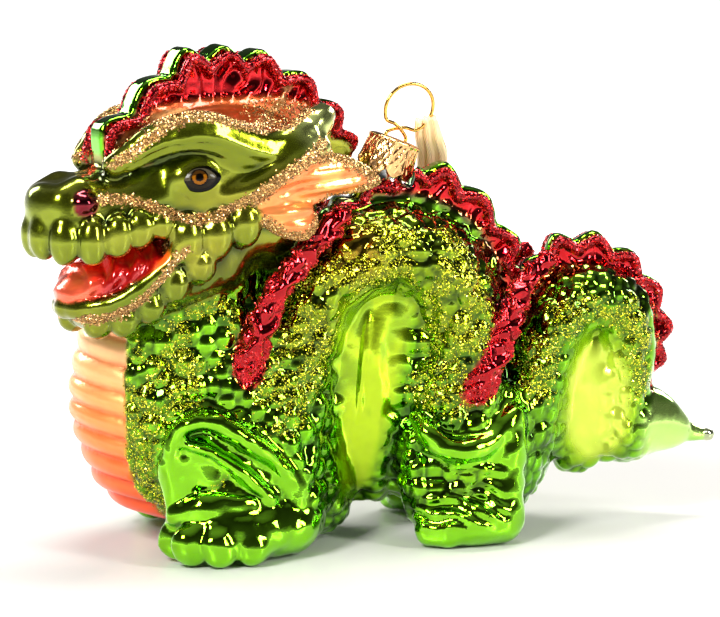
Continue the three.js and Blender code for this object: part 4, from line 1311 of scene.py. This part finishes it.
def hanger_path():
    """The sprung wire: one leg up through the cap, round the eye, and down again."""
    yaw, lean = math.radians(12), 0.1
    leg = [(2.6, -0.5, -9.5), (2.35, -0.5, -7.4), (2.1, -0.5, -5), (2.1, -0.5, -0.5), (1.6, -0.5, 1),
           (-1.2, -0.5, 2.5)]
    eye = [(5 * math.sin(t), 0, 6.5 + 5 * math.cos(t)) for t in np.radians(np.arange(-138, 139, 23))]
    other = [(-x, -y, z) for x, y, z in leg[::-1]]
    path = np.array([*leg, *eye, *other])
    path[:, 0] += lean * np.maximum(path[:, 2] - 1, 0)
    x, y = path[:, 0].copy(), path[:, 1].copy()
    path[:, 0], path[:, 1] = x * math.cos(yaw) - y * math.sin(yaw), x * math.sin(yaw) + y * math.cos(yaw)
    return on_neck(smooth_path(path, 10))


WIRE_RADIUS = 0.36
rings = tube(hanger_path(), WIRE_RADIUS)
wire = new_mesh("sprung_wire", rings.reshape(-1, 3), tube_grid(rings))
close_ends(wire)
piece(wire, "hanger", metal_finish("wire_gold", srgb(226, 176, 84), 0.14, 1200), "hanger_metal",
      "hanger_wire")


# ---------------------------------------------------------------- ribbon
HALF_GAP = 0.62
SATIN_THICKNESS = 0.14


def ribbon_mesh():
    """A narrow satin ribbon folded over the wire: both halves hang behind the crest, in pleats."""
    line = stations(RIBBON, 14)
    centre, half = line[:, :3], line[:, 3]
    along = np.gradient(centre, axis=0)
    along /= np.linalg.norm(along, axis=1)[:, None]
    rows = []
    n = len(centre)
    for layer, sign in ((range(n - 1, -1, -1), 1), (range(n), -1)):
        for i in layer:
            width = np.array([0.93, 0.12, -0.35])
            width = width - along[i] * (width @ along[i])
            width /= np.linalg.norm(width)
            out = np.cross(along[i], width)
            t = np.linspace(-1, 1, 41)
            s = i / (n - 1)
            fold = 0.26 * (0.6 + 0.8 * (1 - s)) * np.sin(t * 8.6 + 1.2 * sign + 2 * s)
            fold = fold + 0.10 * np.sin(t * 21 + 5 * s)
            rows.append(centre[i] + np.outer(t * half[i], width) + np.outer(fold + HALF_GAP * sign, out))
    return np.array(rows)


rows = ribbon_mesh()
n, m = rows.shape[:2]
r, j = np.meshgrid(np.arange(n - 1), np.arange(m - 1), indexing="ij")
strip = np.stack([r * m + j, r * m + j + 1, (r + 1) * m + j + 1, (r + 1) * m + j], -1).reshape(-1, 4)
ribbon = new_mesh("satin_ribbon", rows.reshape(-1, 3), strip)
satin_thick = ribbon.modifiers.new("thickness", "SOLIDIFY")
satin_thick.thickness = SATIN_THICKNESS * MM
satin_thick.offset = 0
satin = Finish("ribbon_satin", Roughness=0.38, Sheen_Weight=0.35, Sheen_Roughness=0.35,
               Specular_IOR_Level=0.6)
weave = satin.node("ShaderNodeTexWave", Scale=900.0, Distortion=1.5, Detail=2.0)
place = satin.node("ShaderNodeTexCoord")
satin.link(place.outputs["Object"], weave.inputs["Vector"])
flat = satin.node("ShaderNodeRGB")
flat.outputs[0].default_value = (*srgb(255, 222, 172), 1)
satin.tinted(flat.outputs[0], weave.outputs["Fac"], 0.86, 1.08)
satin.bump(weave.outputs["Fac"], 0.25, 0.00005)
piece(ribbon, "ribbon", satin.mat, "ribbon_satin", "ribbon")


# ---------------------------------------------------------------- light
def studio():
    """A dark room with a pale horizon: the soft boxes are what the glass reflects."""
    world = bpy.data.worlds.new("studio")
    bpy.context.scene.world = world
    world.use_nodes = True
    tree = world.node_tree
    place = tree.nodes.new("ShaderNodeTexCoord")
    split = tree.nodes.new("ShaderNodeSeparateXYZ")
    ramp = tree.nodes.new("ShaderNodeValToRGB")
    span = tree.nodes.new("ShaderNodeMapRange")
    span.inputs["From Min"].default_value = -1
    tree.links.new(place.outputs["Generated"], split.inputs["Vector"])
    tree.links.new(split.outputs["Z"], span.inputs["Value"])
    tree.links.new(span.outputs["Result"], ramp.inputs["Fac"])
    tree.links.new(ramp.outputs["Color"], tree.nodes["Background"].inputs["Color"])
    stops = [(0.0, 0.9), (0.49, 0.95), (0.54, 0.55), (0.61, 0.08), (0.85, 0.03), (0.94, 0.25), (1.0, 0.4)]
    while len(ramp.color_ramp.elements) < len(stops):
        ramp.color_ramp.elements.new(0.5)
    for element, (at, grey) in zip(ramp.color_ramp.elements, stops):
        element.position = at
        element.color = (grey, grey, grey, 1)


def area(name, at, size, power, target=(0, 0, 0.045)):
    light = bpy.data.lights.new(name, "AREA")
    light.shape = "RECTANGLE"
    light.size, light.size_y = size
    light.energy = power
    obj = bpy.data.objects.new(name, light)
    bpy.context.scene.collection.objects.link(obj)
    obj.location = at
    look_at(obj, target)
    return obj


studio()
area("key", (-0.55, -0.55, 0.62), (0.26, 0.26), 10)
area("fill", (0.62, -0.55, 0.42), (0.16, 0.40), 5.5)
area("top", (0.05, 0.10, 0.85), (0.45, 0.22), 6)
area("back_left", (-0.5, 0.65, 0.45), (0.3, 0.4), 4)
area("back_right", (0.6, 0.6, 0.4), (0.3, 0.3), 3)

FLOOR_RADIUS, FLOOR_SIDES = 4000, 96
angle = 2 * np.pi * np.arange(FLOOR_SIDES) / FLOOR_SIDES
disc = np.column_stack([FLOOR_RADIUS * np.cos(angle), FLOOR_RADIUS * np.sin(angle), 0 * angle]) + SHIFT
floor = new_mesh("floor", disc, np.arange(FLOOR_SIDES)[None], smooth=False)
floor_finish = Finish("floor", Roughness=0.35)
floor_finish.shader.inputs["Base Color"].default_value = (0.72, 0.7, 0.67, 1)
floor_finish.shader.inputs["Emission Color"].default_value = (1, 1, 1, 1)
from_middle = floor_finish.node("ShaderNodeVectorMath", operation="LENGTH")
floor_finish.link(floor_finish.node("ShaderNodeTexCoord").outputs["Object"], from_middle.inputs[0])
sweep = floor_finish.node("ShaderNodeMapRange", interpolation_type="SMOOTHSTEP")
sweep.inputs["From Min"].default_value = 0.06
sweep.inputs["From Max"].default_value = 0.5
floor_finish.link(from_middle.outputs["Value"], sweep.inputs["Value"])
floor_finish.link(sweep.outputs["Result"], floor_finish.shader.inputs["Emission Strength"])
floor.data.materials.append(floor_finish.mat)
bpy.context.scene.view_settings.view_transform = "Standard"
